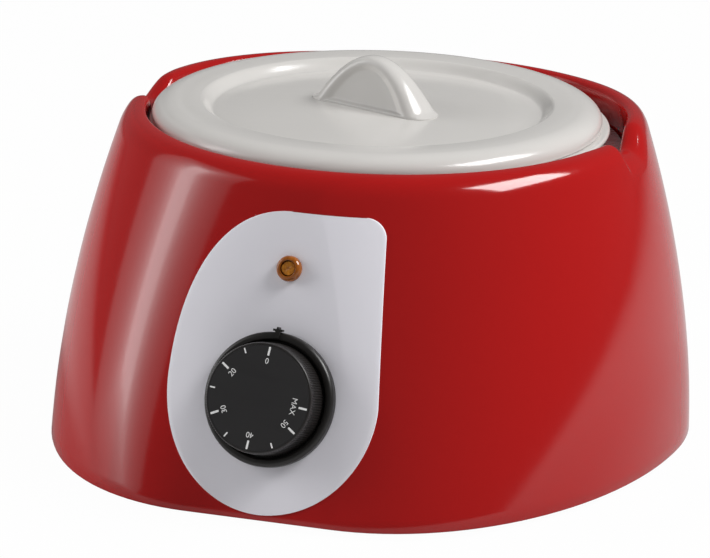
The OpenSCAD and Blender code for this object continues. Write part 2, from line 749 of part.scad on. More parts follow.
// Black dished ring round the knob, with the pointer at its top
bezel_in_r = knob_d / 2 + turn_gap;
bezel_r = bezel_in_r + bezel_lip;
bezel_round = 1.6;
bezel_chamfer = 1;
pointer_t = 2.6;
pointer_sink = 2;
module thermostat_bezel() {
    profile = concat(
        [[bush_d / 2 + pass_gap, 0], [bezel_r, 0], [bezel_r, bezel_h - bezel_round]],
        arc(bezel_r - bezel_round, bezel_h - bezel_round, bezel_round, bezel_round, 0, 90, 6),
        [[bezel_in_r + bezel_chamfer, bezel_h], [bezel_in_r, bezel_h - bezel_chamfer],
         [bezel_in_r, bezel_floor], [bush_d / 2 + pass_gap, bezel_floor]]);
    color("black") on_panel() translate([0, 0, plate_top]) difference() {
        union() {
            rotate_extrude() polygon(profile);
            translate([-pointer_w / 2, bezel_in_r + bezel_chamfer, bezel_h - pointer_sink])
                cube([pointer_w, pointer_l, pointer_t]);
        }
        for (x = [-1, 1])
            translate([x * stat_pitch / 2, 0, -eps])
                cylinder(d = stat_screw_d + 2 * pass_gap, h = bezel_floor + 2 * eps);
    }
}

// Feeler bulb against the wall of the well, with its clips and its tube
bulb_r = well_out_r + bulb_d / 2 + run_gap;
bulb_xy = [bulb_r * cos(bulb_at), axis_y + bulb_r * sin(bulb_at)];
bulb_below = 4;
bulb_z0 = ledge_z0 - boss_l - bulb_l - bulb_below;
capillary_d = 2;
clip_h = 9;
clip_t = 1.2;
module sensor_bulb() {
    color("peru") translate([bulb_xy.x, bulb_xy.y, bulb_z0]) cylinder(d = bulb_d, h = bulb_l);
}
clip_w = 24;
clip_at = [0.2, 0.65];
module bulb_clips() {
    color("silver") for (k = clip_at)
        translate([0, axis_y, bulb_z0 + bulb_l * k]) rotate([0, 0, bulb_at]) difference() {
            union() {
                translate([bulb_r, 0, 0]) cylinder(d = bulb_d + 2 * clip_t, h = clip_h);
                translate([well_out_r + run_gap, -clip_w / 2, 0]) cube([clip_t, clip_w, clip_h]);
            }
            translate([bulb_r, 0, -eps]) cylinder(d = bulb_d + 2 * run_gap, h = clip_h + 2 * eps);
            translate([0, -clip_w, -eps]) cube([well_out_r + run_gap, 2 * clip_w, clip_h + 2 * eps]);
        }
}
capillary_x = -12;
capillary_in = 8;
capillary_lead = 8;
capillary_start = panel_point([capillary_x, stat_h / 2, stat_back + capillary_in]);
capillary_turn = panel_point([capillary_x, stat_h / 2 + capillary_lead, stat_back + capillary_in]);
module capillary() {
    color("peru") tube([
        capillary_start, capillary_turn,
        capillary_turn + [-16, 6, 4],
        [bulb_xy.x + 14, bulb_xy.y - 24, (capillary_turn.z + bulb_z0) / 2],
        [bulb_xy.x + 3, bulb_xy.y - 9, bulb_z0 - 14],
        [bulb_xy.x, bulb_xy.y, bulb_z0 - 8],
        [bulb_xy.x, bulb_xy.y, bulb_z0]], capillary_d);
}

// Pilot lamp: amber lens, holder through the panel and nut behind it
stem_d = lamp_d - 2 * lamp_t - 2 * pass_gap;
stem_l = 8;
stem_space = 4;
lens_edge = 1;
tail_x = 2.5;
tail_d = 1.2;
tail_l = 5;
module lamp_lens() {
    profile = concat(
        [[0, -stem_l], [stem_d / 2, -stem_l], [stem_d / 2, 0], [lens_d / 2, 0]],
        arc(0, lens_edge, lens_d / 2, lens_h - lens_edge, 0, 90, 8));
    color("darkorange") on_lamp() translate([0, 0, plate_top]) rotate_extrude() polygon(profile);
}
module lamp_body() {
    color("dimgray") on_lamp() difference() {
        union() {
            translate([0, 0, -wall - lamp_l]) cylinder(d = lamp_d, h = lamp_l + wall + plate_top);
            for (x = [-1, 1])
                translate([x * tail_x, 0, -wall - lamp_l - tail_l]) cylinder(d = tail_d, h = tail_l + bite);
        }
        translate([0, 0, -stem_l - stem_space])
            cylinder(d = lamp_d - 2 * lamp_t, h = stem_l + stem_space + plate_top + eps);
    }
}
module lamp_nut() {
    color("gray") on_lamp() translate([0, 0, -wall - lamp_nut_t]) difference() {
        cylinder(d = lamp_d * 1.6, h = lamp_nut_t, $fn = 6);
        translate([0, 0, -eps]) cylinder(d = lamp_d + 2 * run_gap, h = lamp_nut_t + 2 * eps);
    }
}

// Terminal block on the base plate, near the cable gland
block_y = axis_y + base_back - block_back - block_w;
poles = [-1.5, -0.5, 0.5, 1.5];
pole_pitch = 8;
pole_z = 6;
pole_screw_d = 3.5;
block_ear = 7;
block_ear_in = 4;
block_ear_h = 4;
pole_in = 2;
module at_block_ears() {
    for (x = [-1, 1]) translate([x * (block_l / 2 + block_ear / 2), block_y + block_w / 2, 0]) children();
}
module terminal_block() {
    color("ghostwhite") difference() {
        translate([0, 0, base_z]) union() {
            translate([-block_l / 2, block_y, 0]) cube([block_l, block_w, block_h]);
            translate([-block_l / 2 - block_ear, block_y + block_ear_in, 0])
                cube([block_l + 2 * block_ear, block_w - 2 * block_ear_in, block_ear_h]);
        }
        for (p = poles) {
            translate([p * pole_pitch, block_y - eps, base_z + pole_z]) rotate([-90, 0, 0])
                cylinder(d = wire_d + 2 * pass_gap, h = block_w + 2 * eps);
            translate([p * pole_pitch, block_y + block_w / 2, base_z + pole_z])
                cylinder(d = pole_screw_d + 2 * run_gap, h = block_h);
        }
        at_block_ears() translate([0, 0, base_z - eps])
            cylinder(d = tap_d + 2 * pass_gap, h = block_ear_h + 2 * eps);
    }
}
module terminal_screws() {
    color("gainsboro") for (p = poles)
        translate([p * pole_pitch, block_y + block_w / 2, base_z + pole_z + wire_d / 2 + pass_gap])
            cylinder(d = pole_screw_d, h = block_h - pole_z - wire_d);
}
module block_screws() {
    color("gray") at_block_ears() {
        translate([0, 0, base_z + block_ear_h]) cylinder(d = head_d, h = head_h);
        translate([0, 0, base_z0]) cylinder(d = tap_d, h = base_t + block_ear_h + bite);
    }
}

// Wires, each along points chosen by hand between the faces that it joins
pole_face = [for (p = poles) [p * pole_pitch, block_y + pole_in, base_z + pole_z]];
stat_blade = [for (x = [-1, 1]) panel_point([x * blade_x, 0, stat_back - blade_l])];
cut_blade = [for (x = [-1, 1]) [cutout_x + x * cutout_blade_x, axis_y, shield_z0 - cutout_h - blade_l]];
behind = [0, cos(lean), -sin(lean)];
down = [0, 0, -1];
lamp_tail = [for (x = [-1, 1])
    panel_point([lamp_side + x * tail_x, lamp_up, 0]) + (wall + lamp_l + tail_l) * behind];
mat_lead_x = 4;
mat_lead_in = 2;
mat_tab = [for (x = [-1, 1]) [x * mat_lead_x, axis_y + tab_r - mat_lead_in, pad_z]];
// Place under the heat shield: across, back from the bowl's axis, and as a share of the free height
function below(x, y, t) = [x, axis_y + y, base_z + service_h * t];
run_t = 0.15;
lamp_run = [-2, 5];
module wiring() {
    color("slategray") {
        tube([stat_blade[0], stat_blade[0] + 8 * behind, below(-24, -93, 0.6), below(-34, -53, run_t),
              below(-34, 17, run_t), below(-20, 61, 0.22), pole_face[0] - [0, 12, 0], pole_face[0]], wire_d);
        tube([stat_blade[1], stat_blade[1] + 8 * behind, below(16, -91, 0.54), below(26, -53, 0.18),
              below(30, -21, run_t), cut_blade[0] + 7 * down, cut_blade[0]], wire_d);
        tube([cut_blade[1], cut_blade[1] + 7 * down, below(46, 21, 0.22), below(40, 53, 0.4),
              below(18, 83, 0.78), mat_tab[1] + 9 * down, mat_tab[1]], wire_d);
        tube([mat_tab[0], mat_tab[0] + 9 * down, below(-10, 85, 0.75), below(-10, 71, 0.43),
              pole_face[1] - [0, 10, 0], pole_face[1]], wire_d);
        for (i = [0, 1])
            tube([lamp_tail[i], lamp_tail[i] + 4 * behind, below(lamp_run[i], -104, 1.5),
                  below(lamp_run[i], -90, 0.6), below(lamp_run[i], -50, run_t),
                  below(pole_face[i + 2].x, 60, 0.2), pole_face[i + 2] - [0, 12, 0],
                  pole_face[i + 2]], wire_d);
    }
}

// Cable gland in the back wall and the nut behind it
gland_gap = 0.05;
gland_face_y = axis_y + base_back + gland_gap;
gland_in = 9;
gland_nut_t = 5;
// The nut stands clear of the wall, which leans in above it
nut_gap = 0.5;
nut_stand = max(0, base_back - back_d(share(gland_z + gland_flange / 2))) + nut_gap;
gland_nose_d = gland_flange - 4;
gland_round = 3;
module cable_gland() {
    flange_l = 4;
    profile = concat(
        [[cable_d / 2, -wall - gland_in], [gland_d / 2, -wall - gland_in], [gland_d / 2, 0],
         [gland_flange / 2, 0], [gland_flange / 2, flange_l], [gland_nose_d / 2, flange_l]],
        arc(gland_nose_d / 2 - gland_round, gland_out - gland_round, gland_round, gland_round, 0, 90, 6),
        [[cable_d / 2, gland_out]]);
    color("black") translate([0, gland_face_y, gland_z]) rotate([-90, 0, 0])
        rotate_extrude() polygon(profile);
}
module gland_nut() {
    color("black") translate([0, gland_face_y - wall - nut_stand, gland_z]) rotate([90, 0, 0]) difference() {
        cylinder(d = gland_flange, h = gland_nut_t, $fn = 6);
        translate([0, 0, -eps]) cylinder(d = gland_d + 2 * run_gap, h = gland_nut_t + 2 * eps);
    }
}

// Vented base plate, with bosses for the screws of the feet
foot_boss_h = 6;
foot_boss_floor = 2;
vent_rows = [-2, -1, 0, 1, 2];
vent_pitch = 14;
vent_x = 46;
vent_y = -40;
module vent() {
    square([vent_l - vent_w, vent_w], center = true);
    for (x = [-1, 1]) translate([x * (vent_l - vent_w) / 2, 0]) circle(d = vent_w);
}
module base_plate() {
    edge = [for (s = stations) let (p = outline(s[0], s[1], base_z, wall + base_gap)) [p.x, p.y]];
    color("dimgray") difference() {
        union() {
            translate([0, 0, base_z0]) linear_extrude(base_t) polygon(edge);
            at_feet() translate([0, 0, base_z - bite]) cylinder(d = tap_d * 2.6, h = foot_boss_h + bite);
        }
        for (x = [-1, 1], j = vent_rows)
            translate([x * vent_x, vent_y + j * vent_pitch, base_z0 - eps])
                linear_extrude(base_t + 2 * eps) vent();
        at_posts() translate([0, 0, base_z0 - eps]) cylinder(d = tap_d + 2 * pass_gap, h = base_t + 2 * eps);
        at_feet() translate([0, 0, base_z0 - eps])
            cylinder(d = tap_d + 2 * tap_clear, h = base_t + foot_boss_h - foot_boss_floor + eps);
        at_block_ears() translate([0, 0, base_z0 - eps])
            cylinder(d = tap_d + 2 * tap_clear, h = base_t + 2 * eps);
    }
}
module base_screws() {
    color("gray") at_posts() {
        translate([0, 0, base_z0 - head_h]) cylinder(d = head_d, h = head_h);
        translate([0, 0, base_z0 - bite]) cylinder(d = tap_d, h = base_t + post_h * 0.6);
    }
}

// Rubber feet under the plate, with sunk screws
foot_sink = 1.8;
foot_edge = 1;
foot_head_h = 1.2;
foot_screw_in = 3;
module rubber_feet() {
    profile = concat(
        [[tap_d / 2 + pass_gap, foot_sink], [tap_d, foot_sink], [tap_d, 0]],
        arc(foot_d / 2 - foot_edge, foot_edge, foot_edge, foot_edge, -90, 0, 4),
        [[foot_d / 2, base_z0], [tap_d / 2 + pass_gap, base_z0]]);
    color("black") at_feet() rotate_extrude() polygon(profile);
}
module foot_screws() {
    color("gray") at_feet() {
        translate([0, 0, foot_sink - foot_head_h]) cylinder(d = head_d, h = foot_head_h);
        translate([0, 0, foot_sink - bite]) cylinder(d = tap_d, h = base_z + foot_screw_in - foot_sink);
    }
}

// Shaft of the thermostat, with a flat on its outer end
shaft_gap = 0.5;
shaft_top = knob_h - knob_top - shaft_gap;
shaft_z0 = stat_back + stat_floor + 1;
flat_depth = 1.5;
flat_up = 3;
flat_from = plate_top + bezel_floor + flat_up;
module thermostat_shaft() {
    color("gainsboro") on_panel() difference() {
        translate([0, 0, shaft_z0]) cylinder(d = shaft_d, h = shaft_top - shaft_z0);
        translate([-shaft_d, shaft_d / 2 - flat_depth, flat_from]) cube([2 * shaft_d, shaft_d, knob_h]);
    }
}

// Knob: a cup with a hub that takes the flatted shaft and its spring
knob_clear = 0.6;
knob_z0 = plate_top + bezel_floor + knob_clear;
hub_clear = 0.4;
hub_z0 = flat_from + hub_clear;
socket_gap = 0.2;
knob_draft = 0.5;
knob_edge = 0.6;
dial_r = knob_d / 2 - knob_draft - dial_border;
dial_gap = 0.1;
spring_t = 0.5;
spring_w = 5;
spring_l = 8;
spring_y = shaft_d / 2 - flat_depth + run_gap;
module knob() {
    face_r = knob_d / 2 - knob_draft;
    profile = [
        [0, hub_z0], [hub_d / 2, hub_z0], [hub_d / 2, knob_h - knob_top],
        [face_r - knob_t, knob_h - knob_top], [knob_d / 2 - knob_t, knob_z0], [knob_d / 2, knob_z0],
        [face_r, knob_h - knob_edge], [face_r - knob_edge, knob_h], [dial_r + dial_gap, knob_h],
        [dial_r + dial_gap, knob_h - dial_t], [0, knob_h - dial_t]];
    color("black") on_panel() difference() {
        rotate_extrude() polygon(profile);
        intersection() {
            translate([0, 0, hub_z0 - eps])
                cylinder(d = shaft_d + 2 * run_gap, h = shaft_top + socket_gap - hub_z0 + eps);
            translate([-shaft_d, -shaft_d, hub_z0 - eps])
                cube([2 * shaft_d, shaft_d + spring_y, knob_h]);
        }
        translate([-spring_w / 2 - run_gap, spring_y - run_gap, hub_z0 - eps])
            cube([spring_w + 2 * run_gap, spring_t + 2 * run_gap, spring_l + run_gap + eps]);
    }
}
module dial_disc() {
    color("darkslategray") on_panel() translate([0, 0, knob_h - dial_t]) cylinder(r = dial_r, h = dial_t);
}
module knob_spring() {
    color("silver") on_panel() translate([-spring_w / 2, spring_y, hub_z0])
        cube([spring_w, spring_t, spring_l]);
}

// Loose bowl, hanging in the well by its shoulder
module in_bowl() {
    translate([-bowl_shift, axis_y, 0]) children();
}
module bowl() {
    floor_r = body_r - bowl_taper;
    lip_round = lip_t / 2;
    profile = concat(
        [[0, bowl_z0]],
        arc(floor_r - bowl_corner, bowl_z0 + bowl_corner, bowl_corner, bowl_corner, -90, 0),
        [[body_r, seat_z], [collar_r, seat_z], [collar_r, lip_z - lip_t]],
        arc(lip_r - lip_round, lip_z - lip_round, lip_round, lip_round, -90, 90, 8),
        [[collar_in_r, lip_z], [collar_in_r, seat_z + bowl_t], [body_r - bowl_t, seat_z + bowl_t]],
        arc(floor_r - bowl_corner, bowl_z0 + bowl_corner,
            bowl_corner - bowl_t, bowl_corner - bowl_t, 0, -90),
        [[0, bowl_z0 + bowl_t]]);
    color("gainsboro") in_bowl() rotate_extrude() polygon(profile);
}

// Half-moon grip, moulded on the lid: a rounded slab with a shallow hollow in each face
grip_sink = 0.6;
// Foot of the hollows above the lid
grip_foot = 2;
grip_points = 9;
module grip_arch(inset) {
    half = grip_len / 2 - inset;
    rise = grip_h - inset;
    polygon([for (i = [-grip_points : grip_points])
        let (k = i / grip_points) [half * k, rise * (1 - k * k) - grip_sink]]);
}
// Each layer as its distance in from the face and its inset, as shares of the rounding
grip_layers = [[0, 1], [0.29, 0.29], [0.6, 0.08], [1, 0]];
grip_leaf = 0.02;
module grip_solid() {
    hull() for (side = [-1, 1], l = grip_layers)
        translate([0, side * (grip_t / 2 - grip_round * l[0]), 0]) rotate([90, 0, 0])
            linear_extrude(grip_leaf, center = true) grip_arch(grip_round * l[1]);
}
module grip() {
    difference() {
        grip_solid();
        for (side = [-1, 1])
            translate([0, side * grip_t / 2, grip_foot]) rotate([90, 0, 0])
                linear_extrude(2 * grip_hollow, center = true) grip_arch(grip_border);
    }
}

// Lid with a broad rounded edge, a raised band and a sunk middle that rises towards the grip
band_z = lip_z + band_h;
dish_z = band_z - dish_drop;
dish_slope = 6.5;
dish_steps = 6;
edge_low = 2;
foot_round = 1;
skirt_t = 2;
function dish_at(k) = [dish_r * k, dish_z + dish_crown * (1 - k * k)];
module lid() {
    band_r = lid_r - edge_w;
    edge_z = lip_z + edge_low;
    profile = concat(
        [for (i = [0 : dish_steps]) dish_at(i / dish_steps) - [0, lid_t]],
        [[dish_r + dish_slope, band_z - lid_t]],
        arc(band_r, edge_z, skirt_r - skirt_t - band_r, band_h - edge_low - lid_t, 90, 0, 6),
        [[skirt_r - skirt_t, lip_z - skirt_h], [skirt_r, lip_z - skirt_h], [skirt_r, lip_z]],
        arc(lid_r - foot_round, lip_z + foot_round, foot_round, foot_round, -90, 0, 3),
        arc(band_r, edge_z, edge_w, band_h - edge_low, 0, 90, 10),
        arc(dish_r + dish_slope, band_z - dish_drop / 2, dish_slope / 2, dish_drop / 2, 90, 180, 6),
        arc(dish_r, dish_z + dish_drop / 2, dish_slope / 2, dish_drop / 2, 0, -90, 6),
        [for (i = [dish_steps - 1 : -1 : 0]) dish_at(i / dish_steps)]);
    color("gainsboro") in_bowl() translate([-lid_shift * skirt_gap, 0, 0]) union() {
        rotate_extrude() polygon(profile);
        translate([0, 0, dish_z + dish_crown]) rotate([0, 0, grip_turn]) grip();
    }
}

body_shell();
control_overlay();
heating_well();
well_seal();
well_screws();
heater_mat();
insulation_pad();
heat_shield();
shield_nuts();
thermal_cutout();
cutout_screws();
thermostat_body();
thermostat_screws();
thermostat_bezel();
capillary();
sensor_bulb();
bulb_clips();
lamp_lens();
lamp_body();
lamp_nut();
terminal_block();
terminal_screws();
block_screws();
wiring();
cable_gland();
gland_nut();
base_plate();
base_screws();
rubber_feet();
foot_screws();
thermostat_shaft();
knob();
dial_disc();
knob_spring();
bowl();
lid();
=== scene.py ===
"""Looks of the chocolate melting tank: mouldings, printed dial, finishes, studio and camera.

Sizes are in millimetres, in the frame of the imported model: +Z up, front towards -Y.
The floor and the lights are in metres.
"""
import json
import math

import bmesh
import bpy
from mathutils import Matrix, Vector


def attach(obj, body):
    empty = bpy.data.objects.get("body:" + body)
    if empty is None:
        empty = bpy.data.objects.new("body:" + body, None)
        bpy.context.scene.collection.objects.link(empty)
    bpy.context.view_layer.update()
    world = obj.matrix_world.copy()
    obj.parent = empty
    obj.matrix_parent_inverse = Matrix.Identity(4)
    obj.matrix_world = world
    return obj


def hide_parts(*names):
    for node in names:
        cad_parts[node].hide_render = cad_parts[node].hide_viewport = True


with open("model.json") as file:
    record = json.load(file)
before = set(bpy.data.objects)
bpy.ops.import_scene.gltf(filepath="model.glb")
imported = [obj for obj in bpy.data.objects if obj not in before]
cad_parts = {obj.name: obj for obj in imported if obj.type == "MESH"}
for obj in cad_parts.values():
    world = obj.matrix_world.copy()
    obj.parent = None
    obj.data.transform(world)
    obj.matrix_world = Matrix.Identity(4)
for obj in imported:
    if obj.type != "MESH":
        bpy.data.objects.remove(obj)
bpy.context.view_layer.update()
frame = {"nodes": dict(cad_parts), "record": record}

MM = 0.001

# Steps round a turned piece
TURN_LARGE, TURN_MIDDLE, TURN_SMALL = 192, 160, 96

# Housing
BASE_W, BASE_FRONT, BASE_BACK = 290, 169, 133
SHELL_Z0, SHELL_H = 3, 145
CREST_Z = SHELL_Z0 + SHELL_H
FRONT_FLAT, WALL_BOW, WALL, WALL_STEPS = 68, 1.9, 3, 26
FOOT_ROUND, FOOT_CUT = 1, 0.3
COLLAR_STEPS, INNER_STRIDE = (0.3, 0.6, 1), 4
OPEN_R, RIM_W, RIM_H = 110, 9, 9
TOP_R = OPEN_R + RIM_W
AXIS_Y = (BASE_FRONT - BASE_BACK) / 2
LEAN = math.atan((BASE_FRONT - TOP_R) / SHELL_H)
LEDGE_Z, LEDGE_T, LEDGE_R = 131, 4, 98.5

# Rim; places round it are in degrees, from the front (0) by the side to the back
AT_SIDE, AT_BACK = 90, 180
RIM_CHORD, SHOULDER_FULLNESS, EDGE_START = 1.2, 0.55, 80
RIM_IN_FRONT, RIM_IN_BACK, RIM_IN_FROM, RIM_IN_TO = 1.5, 3.4, 70, 84
SCOOP_DEPTH, SCOOP_FRONT, SCOOP_BACK, SCOOP_LIP, SCOOP_FLOOR = 7, 19, 18, 5, 0
RIM_RISE, RISE_FROM, RISE_TOP, RISE_END = 2.4, 88, 104, 154
BACK_DIP, DIP_FROM = 1.4, 130

# Control panel, measured up the slope from the knob's axis
KNOB_Z = SHELL_Z0 + 50.5
LAMP_UP, LAMP_SIDE = 57.9, 1
PLATE_LOW, PLATE_HIGH, PLATE_RIGHT_W, PLATE_LEFT_W = 50.5, 83, 48.5, 49.8
PLATE_LEFT_LOW, PLATE_FULLNESS = 6.5, 2.2
PLATE_LEAN, PLATE_CORNER = 7.5, 9
GLUE_GAP, PLATE_TOP, PLATE_ROUND = 0.05, 0.5, 0.3

# Knob and bezel, as heights above the panel
KNOB_R, KNOB_H, KNOB_Z0, KNOB_DRAFT = 25, 18.5, 2.6, 0.5
KNOB_TEETH, TOOTH_DEPTH, TOOTH_STEPS = 132, 0.32, 6
DIAL_R, DIAL_T, DIAL_TURN = 23.2, 0.5, -6.3
BUSH_R, BEZEL_IN_R, BEZEL_R, BEZEL_H, BEZEL_FLOOR = 5.1, 26.2, 29.7, 5.5, 2
POINTER_TURN = -1.4

# Dial print: ticks as (length, width), and the words at the long ones
TICKS, TICK_STEP, TICK_OUT_R, TICK_RAISE = 10, 30, 22.8, 0.03
TICK_LONG, TICK_SHORT, TICK_CORNER = (3.9, 0.95), (2.4, 0.65), 0.3
DIAL_WORDS = {0: "0", 2: "20", 4: "30", 6: "40", 8: "50", 9: "MAX"}
NUMBER_R, NUMBER_SIZE, NUMBER_RAISE = 16.4, 3.5, 0.02

# Pilot lamp
LENS_R, LENS_GROOVE_R, LENS_CORE_R = 5.75, 3.55, 3.0

# Bowl and lid
BOWL_SHIFT, LID_SHIFT = 3, 1.04
SEAT_Z, LIP_Z = 134, 143
LIP_R, COLLAR_R, BODY_R = 105.7, 103.2, 91.7
BOWL_T, BOWL_Z0, BOWL_TAPER, BOWL_CORNER = 2.5, 50, 8, 14
LID_R, LID_T, EDGE_W, EDGE_LOW = 103.3, 2.5, 11, 2
BAND_Z, DISH_Z, DISH_R, DISH_SLOPE, DISH_CROWN = 152.3, 147.5, 75, 6.5, 2.2
SKIRT_R, SKIRT_H, SKIRT_T = 99.4, 5, 2

# Grip on the lid: outer arch, and the sunk face that leans back with its draft
GRIP_HALF, GRIP_H, GRIP_T, GRIP_TURN, GRIP_LEFT = 30.8, 23.3, 18.6, -20, 1.2
GRIP_ROOT, GRIP_FLARE, CREST_PULL, EDGE_PULL = 1.5, 3, 0.7, 0.6
FACE_HALF, FACE_H, FACE_FOOT, FACE_LEAN = 24.6, 20, 0.5, 0.21
FACE_SINK, FACE_ROUND, FACE_MIDDLE = 1.1, 0.26, 0.35

# Effects in the finishes
TONE_SPAN, SCUFF_SPAN = (0.3, 0.7), (0.35, 0.75)
SCUFF_TURN, SCUFF_STRETCH = (0.3, 0.5, 0.7), (1, 14, 1)
RELIEF_STRENGTH = 0.5

# Studio
FLOOR_COLOUR, FLOOR_ROUGHNESS, FLOOR_HALF = (0.6, 0.6, 0.6, 1), 0.9, 8
FLOOR_GLOW = 0.98
STUDIO_GREY, WHITE = (0.14, 0.14, 0.143, 1), (1, 1, 1, 1)
LIGHT_AIM = Vector((0, 0, 0.1))


# Shapes

def mix(a, b, t):
    return a + (b - a) * t


def ramp(x, start, end):
    """Smooth step from 0 at start to 1 at end."""
    t = min(1, max(0, (x - start) / (end - start)))
    return t * t * (3 - 2 * t)


def arc(cx, cy, radius, start, end, steps, tall=None):
    """Profile points along a circle, or an ellipse of another height, angles in degrees."""
    tall = radius if tall is None else tall
    angles = [math.radians(mix(start, end, i / steps)) for i in range(steps + 1)]
    return [(cx + radius * math.cos(a), cy + tall * math.sin(a)) for a in angles]


def bezier(a, b, c, d, steps):
    """Points of a cubic curve, without its first."""
    out = []
    for i in range(1, steps + 1):
        t = i / steps
        k = 1 - t
        out.append(a * k ** 3 + b * 3 * k * k * t + c * 3 * k * t * t + d * t ** 3)
    return out


def grid_faces(rows, cols, loop_rows=False, loop_cols=False):
    """Quads over a grid of points stored row by row."""
    faces = []
    for j in range(rows if loop_rows else rows - 1):
        for i in range(cols if loop_cols else cols - 1):
            k, n = (j + 1) % rows, (i + 1) % cols
            faces.append((j * cols + i, j * cols + n, k * cols + n, k * cols + i))
    return faces


def stack_faces(rows, cols):
    """Faces of a stack of closed outlines, with flat ends."""
    ends = [tuple(range(cols - 1, -1, -1)), tuple(range((rows - 1) * cols, rows * cols))]
    return grid_faces(rows, cols, loop_cols=True) + ends


def lathe(profile, steps, tooth=None):
    """Points and faces of a profile of (radius, height) turned about Z.

    tooth(angle, i) adds to the radius of the profile's point i.
    """
    points = []
    for j in range(steps):
        a = 2 * math.pi * j / steps
        for i, (r, z) in enumerate(profile):
            r += tooth(a, i) if tooth else 0
            points.append(Vector((r * math.cos(a), r * math.sin(a), z)))
    return points, grid_faces(steps, len(profile), loop_rows=True)


def make_piece(name, shape, body, material, place=None, replaced=(), sharp=35):
    """A named piece from (points, faces), smooth but for edges sharper than the given angle."""
    points, faces = shape
    place = place or Matrix()
    mesh = bpy.data.meshes.new(name)
    mesh.from_pydata([place @ Vector(p) * MM for p in points], [], faces)
    cleaned = bmesh.new()
    cleaned.from_mesh(mesh)
    bmesh.ops.remove_doubles(cleaned, verts=cleaned.verts, dist=1e-6)
    bmesh.ops.recalc_face_normals(cleaned, faces=cleaned.faces)
    cleaned.to_mesh(mesh)
    cleaned.free()
    mesh.shade_smooth()
    mesh.set_sharp_from_angle(angle=math.radians(sharp))
    mesh.materials.append(material)
    piece = bpy.data.objects.new(name, mesh)
    bpy.context.collection.objects.link(piece)
    if replaced:
        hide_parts(*replaced)
    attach(piece, body)


# Outline of the housing, by the share s of its height

def height_share(z):
    return (z - SHELL_Z0) / SHELL_H


def half_w(s):
    return mix(BASE_W / 2, TOP_R, s ** WALL_BOW)


def back_d(s):
    return mix(BASE_BACK, TOP_R, s ** WALL_BOW)


def front_d(s):
    return mix(BASE_FRONT, TOP_R, s)


def flat_w(s):
    return FRONT_FLAT / 2 * (1 - s * s)


def outline(u, side, z, inset=0):
    """Point of the housing's outline at a place u round it; side is 1 or -1."""
    s = height_share(z)
    w, a, q = flat_w(s), half_w(s) - inset, math.radians(u)
    if u <= AT_SIDE:
        x = w + (a - w) * math.sin(q)
        y = AXIS_Y - (front_d(s) - inset / math.cos(LEAN)) * math.cos(q)
    else:
        x = a * math.sin(q)
        y = AXIS_Y - (back_d(s) - inset) * math.cos(q)
    return Vector((side * x, y, z))


def ring_angle(u):
    """Angle on the rim for a place u of the outline, with a narrow chord at the very front."""
    return math.radians(u + (AT_SIDE - u) / AT_SIDE * RIM_CHORD if u < AT_SIDE else u)


def ring(u, side, r, z):
    """Point on a circle about the opening's axis, at a place u round the housing."""
    q = ring_angle(u)
    return Vector((side * r * math.sin(q), AXIS_Y - r * math.cos(q), z))


def rim_drop(u):
    """Depth of the finger scoop, with a short lip at its front and a long slope at its back."""
    y = -(OPEN_R + RIM_W / 2) * math.cos(ring_angle(u))
    lip = ramp(y, -SCOOP_FRONT, SCOOP_LIP - SCOOP_FRONT)
    return SCOOP_DEPTH * min(lip, ramp(y, SCOOP_BACK, SCOOP_FLOOR))


def rim_wave(u):
    """Rise of the rim behind the finger scoops, and its slight dip at the back."""
    rise = RIM_RISE * ramp(u, RISE_FROM, RISE_TOP) * (1 - ramp(u, RISE_TOP, RISE_END))
    return rise - BACK_DIP * ramp(u, DIP_FROM, AT_BACK)


def wall_section(u, side):
    """Closed cross-section of the housing, up its outside, over the rim and down its inside."""
    roll = mix(RIM_IN_FRONT, RIM_IN_BACK, ramp(u, RIM_IN_FROM, RIM_IN_TO))
    top = CREST_Z + rim_wave(u) - RIM_H - rim_drop(u)
    levels = [mix(SHELL_Z0 + FOOT_ROUND, top, i / WALL_STEPS) for i in range(WALL_STEPS + 1)]
    outer = [outline(u, side, z) for z in levels]
    start, mouth = outer[-1], ring(u, side, OPEN_R, top)
    inward = (mouth - start).normalized()
    crest = mouth - inward * roll
    reach = (crest - start) * SHOULDER_FULLNESS
    crest.z += RIM_H
    rise = (outer[-1] - outer[-2]).normalized() * RIM_H * SHOULDER_FULLNESS
    shoulder = bezier(start, start + rise, crest - reach, crest, steps=14)
    corner = arc(0, -roll, roll, EDGE_START, 0, steps=9)
    edge = [crest + inward * x + Vector((0, 0, z)) for x, z in corner]
    collar = [ring(u, side, OPEN_R, mix(edge[-1].z, LEDGE_Z, t)) for t in COLLAR_STEPS]
    ledge_low, neck_r, under_z = LEDGE_Z - LEDGE_T, OPEN_R + WALL, top + RIM_H / 3
    ledge_profile = ((LEDGE_R, LEDGE_Z), (LEDGE_R, ledge_low),
                     (neck_r, ledge_low), (neck_r, under_z))
    ledge = [ring(u, side, r, z) for r, z in ledge_profile]
    under = outline(u, side, top, WALL)
    under.z = under_z
    inner = [outline(u, side, z, WALL) for z in levels[::-INNER_STRIDE]]
    foot_profile = ((SHELL_Z0, WALL), (SHELL_Z0, FOOT_ROUND), (SHELL_Z0 + FOOT_CUT, FOOT_CUT))
    foot = [outline(u, side, z, inset) for z, inset in foot_profile]
    return outer + shoulder + edge + collar + ledge + [under] + inner + foot


def stations():
    """Places round the housing as (u, side), close together along the finger scoops."""
    coarse, fine, fine_from, fine_to = 3, 0.5, 74, 103
    fine_steps = round((fine_to - fine_from) / fine)
    half = [*range(0, fine_from, coarse),
            *(fine_from + fine * i for i in range(fine_steps + 1)),
            *range(fine_to + 2, AT_BACK + 1, coarse)]
    return [(u, 1) for u in half] + [(u, -1) for u in half[-2::-1]]


